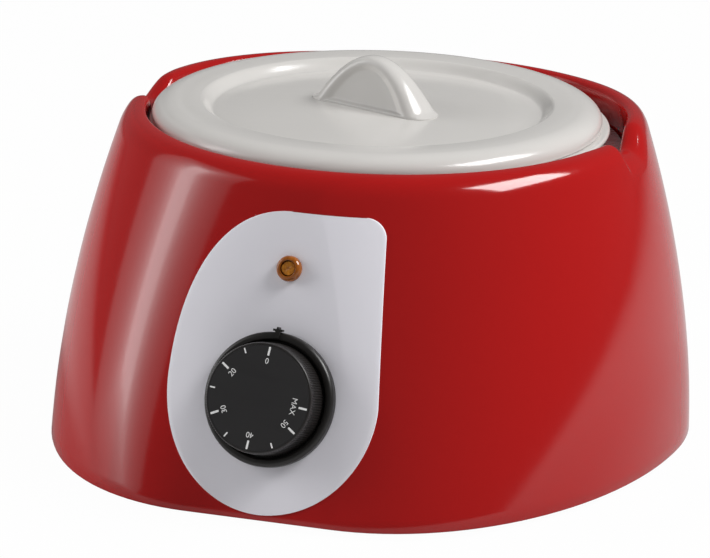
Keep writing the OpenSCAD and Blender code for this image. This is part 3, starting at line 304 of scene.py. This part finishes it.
def build_housing(material):
    """Hollow moulding with the rolled rim and the two finger scoops."""
    sections = [wall_section(u, side) for u, side in stations()]
    points = [p for section in sections for p in section]
    faces = grid_faces(len(sections), len(sections[0]), loop_rows=True, loop_cols=True)
    make_piece("housing_moulding", (points, faces), "housing", material,
               replaced=("body_shell",))


# Control plate

def front_y(x, z, out):
    """Front of the housing at a place in the front view, a distance out from it."""
    s = height_share(z)
    w, a, f = flat_w(s), half_w(s) + out, front_d(s) + out / math.cos(LEAN)
    k = max(0, abs(x) - w) / (a - w)
    return AXIS_Y - f * math.sqrt(1 - k * k)


def plate_left(v):
    """Left edge of the plate at a height v: half an oval below, a fuller one above."""
    if v < PLATE_LEFT_LOW:
        low = (PLATE_LEFT_LOW - v) / (PLATE_LOW + PLATE_LEFT_LOW)
        return -PLATE_LEFT_W * math.sqrt(max(0, 1 - low * low))
    t = (v - PLATE_LEFT_LOW) / (PLATE_HIGH - PLATE_LEFT_LOW)
    return -PLATE_LEFT_W * max(0, 1 - t ** PLATE_FULLNESS) ** (1 / PLATE_FULLNESS)


def plate_right(v):
    """Right edge of the plate at a height v: oval below, then leaning up to a round corner."""
    if v < 0:
        return PLATE_RIGHT_W * math.sqrt(max(0, 1 - (v / PLATE_LOW) ** 2))
    c = max(0, v - PLATE_HIGH + PLATE_CORNER)
    edge = PLATE_RIGHT_W - PLATE_LEAN * v / PLATE_HIGH
    return edge - PLATE_CORNER + math.sqrt(max(0, PLATE_CORNER ** 2 - c * c))


def build_plate(material):
    """Thin plate that follows the front of the housing, with rounded edges."""
    rows, cols, end_gap, side_cut, top_cut = 80, 40, 0.01, 0.25, 0.08
    # Rounded edge as (share of the rounding, height over the housing)
    rounded = [(0, GLUE_GAP), (0, PLATE_TOP - side_cut), (0.3, PLATE_TOP - top_cut),
               (1, PLATE_TOP)]
    points = []
    for j in range(rows + 1):
        t = (1 - math.cos(math.pi * j / rows)) / 2
        v = mix(-PLATE_LOW + end_gap, PLATE_HIGH - end_gap, t)
        z = KNOB_Z + v * math.cos(LEAN)
        left, right = plate_left(v), plate_right(v)
        edge = min(PLATE_ROUND, (right - left) / 3)
        row = [(left + edge * k, out) for k, out in rounded]
        row += [(mix(left + edge, right - edge, i / cols), PLATE_TOP) for i in range(1, cols)]
        row += [(right - edge * k, out) for k, out in reversed(rounded)]
        points += [(x, front_y(x, z, out), z) for x, out in row]
    faces = grid_faces(rows + 1, len(row), loop_cols=True)
    make_piece("control_plate", (points, faces), "housing", material,
               replaced=("control_overlay",))


# Bezel, knob, dial print and lamp

def panel_place(up=0, side=0):
    """Panel's own frame: +Z out of the front, +Y up the slope, origin on the housing's face."""
    z = KNOB_Z + up * math.cos(LEAN)
    y = AXIS_Y - front_d(height_share(z))
    return Matrix.Translation((side, y, z)) @ Matrix.Rotation(math.pi / 2 - LEAN, 4, "X")


def build_bezel(material):
    """Dished ring round the knob."""
    crown, inner, cut = 1.9, 0.7, 0.3
    profile = [(BUSH_R, PLATE_TOP), (BEZEL_R - cut, PLATE_TOP), (BEZEL_R, PLATE_TOP + cut)]
    profile += arc(BEZEL_R - crown, BEZEL_H - crown, crown, 0, 90, steps=8)
    profile += arc(BEZEL_IN_R + inner, BEZEL_H - inner, inner, 90, 180, steps=5)
    profile += arc(BEZEL_IN_R - inner, BEZEL_FLOOR + inner, inner, 0, -90, steps=4)
    profile += [(BUSH_R, BEZEL_FLOOR), (BUSH_R, PLATE_TOP)]
    make_piece("bezel_ring", lathe(profile, TURN_MIDDLE), "housing", material,
               panel_place(), replaced=("thermostat_bezel",))


def build_pointer(material):
    """Small cross-shaped pointer over the top of the bezel."""
    neck, arms, tip = 1.1, 2.2, 0.5
    # Half widths, with their distances from the knob's axis
    half = [(neck, BEZEL_IN_R + 0.6), (neck, BEZEL_R + 0.2), (arms, BEZEL_R + 0.4),
            (arms, BEZEL_R + 1.3), (tip + 0.1, BEZEL_R + 1.3), (tip, BEZEL_R + 2.2)]
    shape = half + [(-x, y) for x, y in reversed(half)]
    # Levels as (height, share of the size), the last one chamfered
    levels = [(3.2, 1), (5.8, 1), (6.05, 0.93)]
    points = [(x * k, BEZEL_R + (y - BEZEL_R) * k, z) for z, k in levels for x, y in shape]
    make_piece("bezel_pointer", (points, stack_faces(len(levels), len(shape))), "housing",
               material,
               panel_place() @ Matrix.Rotation(math.radians(POINTER_TURN), 4, "Z"))


def build_knob(material, face_material):
    """Knurled cap with a slight draft, and the disc of the dial set into its top."""
    edge, chamfer, wall = KNOB_R - KNOB_DRAFT, 0.7, 2.4
    heel_w, heel_h, foot_cut, crown, steps = 0.5, 0.3, 0.4, 1.2, 8
    profile = [(KNOB_R - wall, KNOB_Z0 + heel_h), (KNOB_R - wall + heel_w, KNOB_Z0),
               (KNOB_R - foot_cut, KNOB_Z0)]
    flank = len(profile)
    low, high = KNOB_Z0 + foot_cut, KNOB_H - crown
    profile += [(mix(KNOB_R, edge, i / steps), mix(low, high, i / steps)) for i in range(steps + 1)]
    teeth = range(flank, len(profile))
    profile += arc(edge - TOOTH_DEPTH - chamfer, KNOB_H - chamfer, chamfer, 0, 90, steps=6)
    profile += [(DIAL_R, KNOB_H), (DIAL_R, KNOB_H - DIAL_T), (0, KNOB_H - DIAL_T)]

    def tooth(angle, i):
        groove = (0.5 + 0.5 * math.cos(angle * KNOB_TEETH)) ** 2
        return -TOOTH_DEPTH * groove if i in teeth else 0

    make_piece("knob_cap", lathe(profile, KNOB_TEETH * TOOTH_STEPS, tooth), "knob",
               material, panel_place(), replaced=("knob",), sharp=50)
    play, disc_t = 0.05, 0.45
    rim = DIAL_R - play
    disc = [(0, KNOB_H - disc_t), (rim, KNOB_H - disc_t), (rim, KNOB_H - play),
            (rim - play, KNOB_H), (0, KNOB_H)]
    make_piece("dial_face", lathe(disc, TURN_MIDDLE), "knob", face_material,
               panel_place(), replaced=("dial_disc",))


def dial_place(angle, r):
    """Frame on the dial's face, counter-clockwise from its top, with +Y pointing outwards."""
    turn = Matrix.Rotation(math.radians(angle + DIAL_TURN), 4, "Z")
    return panel_place() @ turn @ Matrix.Translation((0, r, KNOB_H))


def rounded_bar(length, width, height):
    """Points and faces of a bar with rounded corners, its outer end at y = 0."""
    corner = width * TICK_CORNER
    x, outer, inner = width / 2 - corner, -corner, corner - length
    shape = []
    for cx, cy, start in ((x, outer, 0), (-x, outer, 90), (-x, inner, 180), (x, inner, 270)):
        shape += arc(cx, cy, corner, start, start + 90, steps=4)
    points = [(x, y, z) for z in (-height, height) for x, y in shape]
    return points, stack_faces(2, len(shape))


def dial_text(name, words, angle, material):
    """Raised print, with its top outwards."""
    curve = bpy.data.curves.new(name, "FONT")
    curve.body = words
    curve.size = NUMBER_SIZE * MM
    curve.align_x = "CENTER"
    curve.align_y = "CENTER"
    curve.extrude = NUMBER_RAISE * MM
    letters = bpy.data.objects.new(name, curve)
    bpy.context.collection.objects.link(letters)
    place = dial_place(angle, NUMBER_R)
    place.translation *= MM
    letters.matrix_world = place
    bpy.context.view_layer.update()
    curve.materials.append(material)
    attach(letters, "knob")


def build_dial_print(material):
    """Ticks round the dial; the long ones carry a number, and the last the word for full heat."""
    for i in range(TICKS):
        angle, words = TICK_STEP * i, DIAL_WORDS.get(i)
        bar = rounded_bar(*(TICK_LONG if words else TICK_SHORT), TICK_RAISE)
        make_piece(f"dial_tick_{i}", bar, "knob", material,
                   dial_place(angle, TICK_OUT_R))
        if words:
            label = "top" if i == TICKS - 1 else words
            dial_text(f"dial_number_{label}", words, angle, material)


def build_lamp(lens_material, core_sparkle_material):
    """Amber lens: a round-shouldered ring, a groove and a core pressed with crossed facets."""
    place = panel_place(LAMP_UP, LAMP_SIDE) @ Matrix.Translation((0, 0, PLATE_TOP))
    shoulder, low, rise, seat, cut, foot = 1.9, 0.9, 2.6, 0.1, 0.15, 0.3
    profile = [(LENS_GROOVE_R, seat), (LENS_R - cut, seat), (LENS_R, foot)]
    profile += arc(LENS_R - shoulder, low, shoulder, 0, 90, steps=12, tall=rise)
    profile += [(LENS_GROOVE_R, low + rise - cut), (LENS_GROOVE_R, seat)]
    make_piece("lamp_dome", lathe(profile, TURN_SMALL), "housing", lens_material,
               place, replaced=("lamp_lens",))
    core, facet, groove, steps = 2.2, 0.55, 1.4, 8
    valley, middle = 0.4, 0.35
    radii = [LENS_CORE_R * i / steps for i in range(1, steps + 1)]
    points = []
    for j in range(TURN_SMALL):
        a = 2 * math.pi * j / TURN_SMALL
        bump = facet * mix(valley, 1, abs(math.cos(2 * a)))
        spoke = [(r, core + bump * mix(middle, 1, r / LENS_CORE_R)) for r in radii]
        spoke = [(0, core)] + spoke + [(LENS_GROOVE_R, core - groove)]
        points += [(r * math.cos(a), r * math.sin(a), z) for r, z in spoke]
    faces = grid_faces(TURN_SMALL, len(spoke), loop_rows=True)
    # The core wears a lighter, finely speckled amber than the ring of the same lens: painted
    # sparkle of light on its facets.
    make_piece("lamp_core", (points, faces), "housing", core_sparkle_material, place,
               sharp=15)


# Bowl and lid

def bowl_place():
    return Matrix.Translation((-BOWL_SHIFT, AXIS_Y, 0))


def lid_place():
    return Matrix.Translation((-BOWL_SHIFT - LID_SHIFT, AXIS_Y, 0))


def build_bowl(material):
    """Bowl that hangs by its collar, with a bead round its lip."""
    floor_r, corner_z = BODY_R - BOWL_TAPER, BOWL_Z0 + BOWL_CORNER
    bead, cut, lip, heel, bend = BOWL_T / 2, 0.6, 0.5, 1, 1.5
    profile = [(0, BOWL_Z0)]
    profile += arc(floor_r - BOWL_CORNER, corner_z, BOWL_CORNER, -90, 0, steps=12)
    profile += [(BODY_R, SEAT_Z), (COLLAR_R - cut, SEAT_Z), (COLLAR_R, SEAT_Z + cut),
                (COLLAR_R, LIP_Z - BOWL_T)]
    profile += arc(LIP_R - bead, LIP_Z - bead, bead, -90, 90, steps=12)
    profile += arc(COLLAR_R - BOWL_T + lip, LIP_Z - lip, lip, 90, 180, steps=4)
    profile += arc(COLLAR_R - BOWL_T - heel, SEAT_Z + BOWL_T + heel, heel, 0, -90, steps=4)
    profile += arc(BODY_R - BOWL_T + bend, SEAT_Z + BOWL_T - bend, bend, 90, 175, steps=5)
    profile += arc(floor_r - BOWL_CORNER, corner_z, BOWL_CORNER - BOWL_T, 0, -90, steps=12)
    profile += [(0, BOWL_Z0 + BOWL_T)]
    make_piece("bowl_moulding", lathe(profile, TURN_LARGE), "bowl", material,
               bowl_place(), replaced=("bowl",))


def build_lid(material):
    """Lid with a round edge, a flat band, a dished middle and a skirt that drops into the bowl."""
    band_r, edge_z, foot = LID_R - EDGE_W, LIP_Z + EDGE_LOW, LIP_Z - SKIRT_H
    skirt_in, cut, lip, steps = SKIRT_R - SKIRT_T, 0.3, 1, 12
    dish = [(DISH_R * i / steps, DISH_Z + DISH_CROWN * (1 - (i / steps) ** 2))
            for i in range(steps + 1)]
    slope = [(DISH_R + DISH_SLOPE * i / steps, mix(DISH_Z, BAND_Z, ramp(i, 0, steps)))
             for i in range(1, steps + 1)]
    profile = [(r, z - LID_T) for r, z in dish] + [(DISH_R + DISH_SLOPE, BAND_Z - LID_T)]
    profile += arc(band_r, edge_z, skirt_in - band_r, 90, 0, steps=8, tall=BAND_Z - LID_T - edge_z)
    profile += [(skirt_in, foot + cut), (skirt_in + cut, foot), (SKIRT_R - cut, foot),
                (SKIRT_R, foot + cut), (SKIRT_R, LIP_Z)]
    profile += arc(LID_R - lip, LIP_Z + lip, lip, -90, 0, steps=6)
    profile += arc(band_r, edge_z, EDGE_W, 0, 90, steps=24, tall=BAND_Z - edge_z)
    profile += slope[::-1] + dish[::-1]
    make_piece("lid_moulding", lathe(profile, TURN_LARGE), "lid", material,
               lid_place(), replaced=("lid",), sharp=50)


def face_edge(k):
    """Point on the arched edge of the grip's sunk face; k runs from -1 to 1 along the arch."""
    z = FACE_H * (1 - k * k)
    return Vector((FACE_HALF * k, -GRIP_T / 2 + FACE_LEAN * z, FACE_FOOT + z))


def grip_border(k):
    """Row of points over the rounded border, from the grip's crest to the edge of its face."""
    crest = Vector((GRIP_HALF * k, 0, GRIP_H * (1 - k * k)))
    edge = face_edge(k)
    corner_y = -GRIP_T / 2 + FACE_LEAN * max(0, crest.z - FACE_FOOT)
    corner = Vector((crest.x, corner_y, crest.z))
    row = [crest] + bezier(crest, crest.lerp(corner, CREST_PULL), edge.lerp(corner, EDGE_PULL),
                           edge, steps=12)
    for p in row:
        if p.z < GRIP_FLARE:
            spread = GRIP_FLARE - math.sqrt(max(0, GRIP_FLARE ** 2 - (GRIP_FLARE - p.z) ** 2))
            p.x += math.copysign(spread * ramp(abs(p.x), FACE_HALF, GRIP_HALF), p.x)
    return row


def rooted(row):
    """The row's points, brought down to the root of the grip inside the lid."""
    return [Vector((p.x, p.y, -GRIP_ROOT)) for p in row]


def add_grid(points, faces, rows, loop_cols=False):
    """Adds rows of points, with the quads over them, to a mesh in the making."""
    first = len(points)
    points += [p for row in rows for p in row]
    quads = grid_faces(len(rows), len(rows[0]), loop_cols=loop_cols)
    faces += [tuple(first + i for i in quad) for quad in quads]


def grip_front():
    """Points and faces of the front half of the grip: border, sunk face and the foot under both."""
    half_steps, foot_steps, round_steps, flat_shares = 40, 24, 8, [0.5, 0.75, 1]
    points, faces = [], []
    ks = [i / half_steps for i in range(-half_steps, half_steps + 1)]
    border = [grip_border(k) for k in ks]
    add_grid(points, faces, [rooted(border[0])] + border + [rooted(border[-1])])
    arch = [face_edge(k) for k in ks]
    straight = [arch[-1].lerp(arch[0], i / foot_steps) for i in range(1, foot_steps)]
    middle_z = FACE_H * FACE_MIDDLE
    middle = Vector((0, -GRIP_T / 2 + FACE_LEAN * middle_z, FACE_FOOT + middle_z))
    inwards = Vector((0, 1, -FACE_LEAN)).normalized()
    rings = []
    for t in [FACE_ROUND * i / round_steps for i in range(round_steps + 1)] + flat_shares:
        sunk = inwards * FACE_SINK * ramp(t, 0, FACE_ROUND)
        rings.append([p.lerp(middle, t) + sunk for p in arch + straight])
    add_grid(points, faces, rings, loop_cols=True)
    foot = [arch[-1]] + straight + [arch[0]]
    add_grid(points, faces, [foot, rooted(foot)])
    return points, faces


def build_grip(material):
    """Half-moon grip: the front half and its mirror image at the back."""
    points, faces = grip_front()
    count = len(points)
    points += [Vector((p.x, -p.y, p.z)) for p in points]
    faces += [tuple(count + i for i in reversed(f)) for f in faces]
    place = lid_place() @ Matrix.Translation((-GRIP_LEFT, 0, DISH_Z + DISH_CROWN))
    place = place @ Matrix.Rotation(math.radians(GRIP_TURN), 4, "Z")
    make_piece("lid_grip", (points, faces), "lid", material, place, sharp=50)


# Finishes

def effect_group(name, inputs, outputs):
    """An empty shader node group with named inputs {name: default} and outputs, all floats."""
    group = bpy.data.node_groups.new(name, "ShaderNodeTree")
    for label, value in inputs.items():
        socket = group.interface.new_socket(label, in_out="INPUT", socket_type="NodeSocketFloat")
        socket.default_value = value
    for label in outputs:
        group.interface.new_socket(label, in_out="OUTPUT", socket_type="NodeSocketFloat")
    return group, group.nodes.new("NodeGroupInput"), group.nodes.new("NodeGroupOutput")


def noise(group, vector, scale, detail):
    """Value of a noise texture over a vector socket, with its scale from another socket."""
    texture = group.nodes.new("ShaderNodeTexNoise")
    texture.inputs["Detail"].default_value = detail
    group.links.new(vector, texture.inputs["Vector"])
    group.links.new(scale, texture.inputs["Scale"])
    return texture.outputs["Fac"]


def moulded_grain_group():
    """Fine relief of a moulded or sprayed skin, and a slow mottle over it."""
    group, start, end = effect_group(
        "moulded_grain", {"Scale": 900, "Mottle Scale": 22}, ("Height", "Mottle"))
    place = group.nodes.new("ShaderNodeTexCoord").outputs["Object"]
    fine = noise(group, place, start.outputs["Scale"], detail=3)
    slow = noise(group, place, start.outputs["Mottle Scale"], detail=4)
    group.links.new(fine, end.inputs["Height"])
    group.links.new(slow, end.inputs["Mottle"])
    return group


def hair_scuff_group():
    """Thin stretched scuffs that show as a change of gloss."""
    group, start, end = effect_group(
        "hair_scuffs", {"Scale": 60, "Least": 0.2, "Most": 0.3}, ("Roughness",))
    nodes, links = group.nodes, group.links
    coords = nodes.new("ShaderNodeTexCoord")
    stretch = nodes.new("ShaderNodeMapping")
    stretch.inputs["Rotation"].default_value = SCUFF_TURN
    stretch.inputs["Scale"].default_value = SCUFF_STRETCH
    links.new(coords.outputs["Object"], stretch.inputs["Vector"])
    streaks = noise(group, stretch.outputs["Vector"], start.outputs["Scale"], detail=5)
    spread = nodes.new("ShaderNodeMapRange")
    spread.inputs["From Min"].default_value = SCUFF_SPAN[0]
    spread.inputs["From Max"].default_value = SCUFF_SPAN[1]
    links.new(streaks, spread.inputs["Value"])
    links.new(start.outputs["Least"], spread.inputs["To Min"])
    links.new(start.outputs["Most"], spread.inputs["To Max"])
    links.new(spread.outputs["Result"], end.inputs["Roughness"])
    return group


GRAIN = moulded_grain_group()
SCUFFS = hair_scuff_group()


def finish(name, dark, light, rough, grain, mottle=22, metallic=0):
    """A procedural finish: mottled colour, scuffed gloss and a fine relief.

    rough is the least and the most roughness, grain the scale and the depth of the relief,
    and mottle the scale of the slow change between the dark and the light colour.
    """
    material = bpy.data.materials.new(name)
    material.use_nodes = True
    nodes, links = material.node_tree.nodes, material.node_tree.links
    surface = nodes["Principled BSDF"]
    surface.inputs["Metallic"].default_value = metallic
    skin = nodes.new("ShaderNodeGroup")
    skin.node_tree = GRAIN
    skin.inputs["Scale"].default_value = grain[0]
    skin.inputs["Mottle Scale"].default_value = mottle
    tone = nodes.new("ShaderNodeValToRGB")
    for stop, position, colour in zip(tone.color_ramp.elements, TONE_SPAN, (dark, light)):
        stop.position = position
        stop.color = (*colour, 1)
    links.new(skin.outputs["Mottle"], tone.inputs["Fac"])
    links.new(tone.outputs["Color"], surface.inputs["Base Color"])
    scuffs = nodes.new("ShaderNodeGroup")
    scuffs.node_tree = SCUFFS
    scuffs.inputs["Least"].default_value = rough[0]
    scuffs.inputs["Most"].default_value = rough[1]
    links.new(scuffs.outputs["Roughness"], surface.inputs["Roughness"])
    relief = nodes.new("ShaderNodeBump")
    relief.inputs["Distance"].default_value = grain[1] * MM
    relief.inputs["Strength"].default_value = RELIEF_STRENGTH
    links.new(skin.outputs["Height"], relief.inputs["Height"])
    links.new(relief.outputs["Normal"], surface.inputs["Normal"])
    return material


FINISHES = {
    "red_housing": finish(
        "glossy_red_moulding", (0.375, 0.0060, 0.0056), (0.390, 0.0063, 0.0059),
        rough=(0.10, 0.13), grain=(120, 0.02), mottle=8),
    "grey_plate": finish(
        "silver_grey_film", (0.860, 0.845, 0.900), (0.880, 0.865, 0.920),
        rough=(0.38, 0.46), grain=(2600, 0.01)),
    "black_plastic": finish(
        "black_satin_plastic", (0.007, 0.006, 0.005), (0.010, 0.0085, 0.0075),
        rough=(0.32, 0.42), grain=(1800, 0.02)),
    "black_knob": finish(
        "black_knob_plastic", (0.009, 0.0075, 0.0075), (0.013, 0.011, 0.010),
        rough=(0.34, 0.44), grain=(1800, 0.02)),
    "dial_print": finish(
        "dial_grey_face", (0.0110, 0.0100, 0.0104), (0.0130, 0.0118, 0.0122),
        rough=(0.5, 0.58), grain=(2200, 0.015)),
    "white_print": finish(
        "white_dial_print", (0.88, 0.88, 0.87), (0.92, 0.92, 0.91),
        rough=(0.5, 0.6), grain=(2200, 0.01)),
    "amber_lens": finish(
        "amber_lamp_lens", (0.22, 0.060, 0.006), (0.34, 0.10, 0.010),
        rough=(0.06, 0.10), grain=(400, 0.01), mottle=400),
    # The lens core: the ring's amber painted lighter and finely speckled, a painted sparkle of
    # light on the facets.
    "amber_core_painted_sparkle": finish(
        "amber_lamp_core_painted_sparkle", (0.30, 0.095, 0.008), (0.62, 0.24, 0.020),
        rough=(0.10, 0.2), grain=(900, 0.05), mottle=900),
    "pale_bowl": finish(
        "pale_grey_moulding", (0.605, 0.588, 0.564), (0.625, 0.608, 0.583),
        rough=(0.16, 0.22), grain=(160, 0.02), mottle=10),
    "well_metal": finish(
        "spun_aluminium", (0.70, 0.70, 0.71), (0.78, 0.78, 0.79),
        rough=(0.25, 0.4), grain=(700, 0.03), metallic=1),
    "zinc_steel": finish(
        "bright_zinc", (0.55, 0.55, 0.53), (0.66, 0.66, 0.64),
        rough=(0.25, 0.4), grain=(900, 0.02), metallic=1),
    "sheet_steel": finish(
        "galvanised_sheet", (0.5, 0.5, 0.5), (0.65, 0.65, 0.66),
        rough=(0.3, 0.5), grain=(500, 0.02), mottle=120, metallic=1),
    "copper": finish(
        "drawn_copper", (0.62, 0.30, 0.18), (0.75, 0.40, 0.26),
        rough=(0.25, 0.4), grain=(700, 0.02), metallic=1),
    "silicone": finish(
        "grey_silicone", (0.30, 0.30, 0.31), (0.36, 0.36, 0.37),
        rough=(0.6, 0.7), grain=(900, 0.03)),
    "heater_silicone": finish(
        "heater_silicone", (0.52, 0.15, 0.05), (0.62, 0.20, 0.07),
        rough=(0.6, 0.7), grain=(900, 0.04)),
    "insulation": finish(
        "fibre_blanket", (0.70, 0.65, 0.52), (0.84, 0.80, 0.66),
        rough=(0.8, 0.95), grain=(300, 0.3)),
    "pale_phenolic": finish(
        "pale_phenolic", (0.74, 0.72, 0.64), (0.82, 0.80, 0.72),
        rough=(0.4, 0.5), grain=(900, 0.03)),
    "wire_silicone": finish(
        "wire_silicone", (0.20, 0.25, 0.34), (0.27, 0.32, 0.42),
        rough=(0.5, 0.6), grain=(900, 0.02)),
    "base_paint": finish(
        "grey_base_paint", (0.085, 0.085, 0.088), (0.11, 0.11, 0.113),
        rough=(0.5, 0.62), grain=(1100, 0.05)),
    "foot_rubber": finish(
        "foot_rubber", (0.016, 0.016, 0.016), (0.028, 0.028, 0.028),
        rough=(0.7, 0.8), grain=(1300, 0.05)),
}


def dress_cad_nodes():
    """Gives every CAD node the finish of its slot; those that are replaced stay hidden."""
    slots = {part["node"]: part["material_slot"] for part in frame["record"]["subparts"]}
    for name, node in frame["nodes"].items():
        node.data.materials.clear()
        node.data.materials.append(FINISHES[slots[name]])


# Studio

def math_node(nodes, links, operation, a, b):
    """Output of a maths node on two values, each a number or a socket."""
    node = nodes.new("ShaderNodeMath")
    node.operation = operation
    for socket, value in zip(node.inputs, (a, b)):
        if isinstance(value, (int, float)):
            socket.default_value = value
        else:
            links.new(value, socket)
    return node.outputs[0]


def seen_directly(nodes, links):
    """Mask of what the camera sees directly or through glass."""
    rays = nodes.new("ShaderNodeLightPath").outputs
    return math_node(nodes, links, "MAXIMUM", rays["Is Camera Ray"], rays["Is Transmission Ray"])


def floor_finish():
    """Pale floor that the camera sees as white, with the object's shadow kept."""
    material = bpy.data.materials.new("studio_floor")
    material.use_nodes = True
    nodes, links = material.node_tree.nodes, material.node_tree.links
    surface = nodes["Principled BSDF"]
    surface.inputs["Base Color"].default_value = FLOOR_COLOUR
    surface.inputs["Roughness"].default_value = FLOOR_ROUGHNESS
    glow = nodes.new("ShaderNodeEmission")
    glow.inputs["Strength"].default_value = 1
    share = math_node(nodes, links, "MULTIPLY", seen_directly(nodes, links), FLOOR_GLOW)
    blend = nodes.new("ShaderNodeMixShader")
    links.new(share, blend.inputs["Fac"])
    links.new(surface.outputs["BSDF"], blend.inputs[1])
    links.new(glow.outputs["Emission"], blend.inputs[2])
    links.new(blend.outputs["Shader"], nodes["Material Output"].inputs["Surface"])
    return material


def build_floor():
    mesh = bpy.data.meshes.new("studio_floor")
    shape = bmesh.new()
    bmesh.ops.create_grid(shape, x_segments=4, y_segments=4, size=FLOOR_HALF)
    shape.to_mesh(mesh)
    shape.free()
    mesh.materials.append(floor_finish())
    floor = bpy.data.objects.new("studio_floor", mesh)
    bpy.context.collection.objects.link(floor)


def build_world():
    """Dim grey studio; the camera sees white past the floor's edge."""
    world = bpy.data.worlds.new("studio")
    bpy.context.scene.world = world
    world.use_nodes = True
    nodes, links = world.node_tree.nodes, world.node_tree.links
    shade = nodes.new("ShaderNodeMix")
    shade.data_type = "RGBA"
    shade.inputs["A"].default_value = STUDIO_GREY
    shade.inputs["B"].default_value = WHITE
    links.new(seen_directly(nodes, links), shade.inputs["Factor"])
    links.new(shade.outputs["Result"], nodes["Background"].inputs["Color"])


def direction(turn, lift):
    """Unit vector at a turn from the front to the right and a lift off the floor, in degrees."""
    turn, lift = math.radians(turn), math.radians(lift)
    flat = math.cos(lift)
    return Vector((math.sin(turn) * flat, -math.cos(turn) * flat, math.sin(lift)))


def soft_box(name, turn, lift, far, width, height, power):
    """Rectangular light that faces the object from a direction and a distance."""
    light = bpy.data.lights.new(name, "AREA")
    light.shape = "RECTANGLE"
    light.size, light.size_y = width, height
    light.energy = power
    box = bpy.data.objects.new(name, light)
    bpy.context.collection.objects.link(box)
    place = LIGHT_AIM + direction(turn, lift) * far
    box.location = place
    box.rotation_euler = (LIGHT_AIM - place).to_track_quat("-Z", "Y").to_euler()


def build_lights():
    """A high box at the right, and at the left front a tall one of strips, soft at its edges."""
    soft_box("right_high", turn=95, lift=47, far=1.9, width=1.2, height=0.7, power=42)
    for i in range(7):
        soft_box(f"left_strip_{i}", turn=-73, lift=20, far=1.7,
                 width=0.26 + 0.19 * i, height=0.9 + 0.12 * i, power=4.1)


def build_camera():
    """Camera at the photograph's angle, for a frame 710 by 558 pixels."""
    azimuth, elevation, roll = 18.078, 16.425, math.radians(1.343)
    frame_w, frame_h = 710, 558
    distance, focal, axis_px, aim_z = 2500, 5409, (382.0, 277.5), 65 + SHELL_Z0
    back = direction(azimuth, elevation)
    right = Vector((math.cos(math.radians(azimuth)), math.sin(math.radians(azimuth)), 0))
    up = back.cross(right)
    x_axis = right * math.cos(roll) + up * math.sin(roll)
    y_axis = up * math.cos(roll) - right * math.sin(roll)
    lens = bpy.data.cameras.new("photo_camera")
    lens.sensor_width = 36
    lens.lens = focal / frame_w * lens.sensor_width
    lens.shift_x = (frame_w / 2 - axis_px[0]) / frame_w
    lens.shift_y = (axis_px[1] - frame_h / 2) / frame_w
    lens.clip_end = 50
    camera = bpy.data.objects.new("photo_camera", lens)
    bpy.context.collection.objects.link(camera)
    camera.matrix_world = Matrix((x_axis, y_axis, back)).transposed().to_4x4()
    camera.location = (Vector((0, AXIS_Y, aim_z)) + back * distance) * MM
    bpy.context.scene.camera = camera


dress_cad_nodes()
build_housing(FINISHES["red_housing"])
build_plate(FINISHES["grey_plate"])
build_bezel(FINISHES["black_plastic"])
build_pointer(FINISHES["black_plastic"])
build_knob(FINISHES["black_knob"], FINISHES["dial_print"])
build_dial_print(FINISHES["white_print"])
build_lamp(FINISHES["amber_lens"], FINISHES["amber_core_painted_sparkle"])
build_bowl(FINISHES["pale_bowl"])
build_lid(FINISHES["pale_bowl"])
build_grip(FINISHES["pale_bowl"])
build_floor()
build_world()
build_lights()
build_camera()
bpy.context.scene.view_settings.view_transform = "Standard"
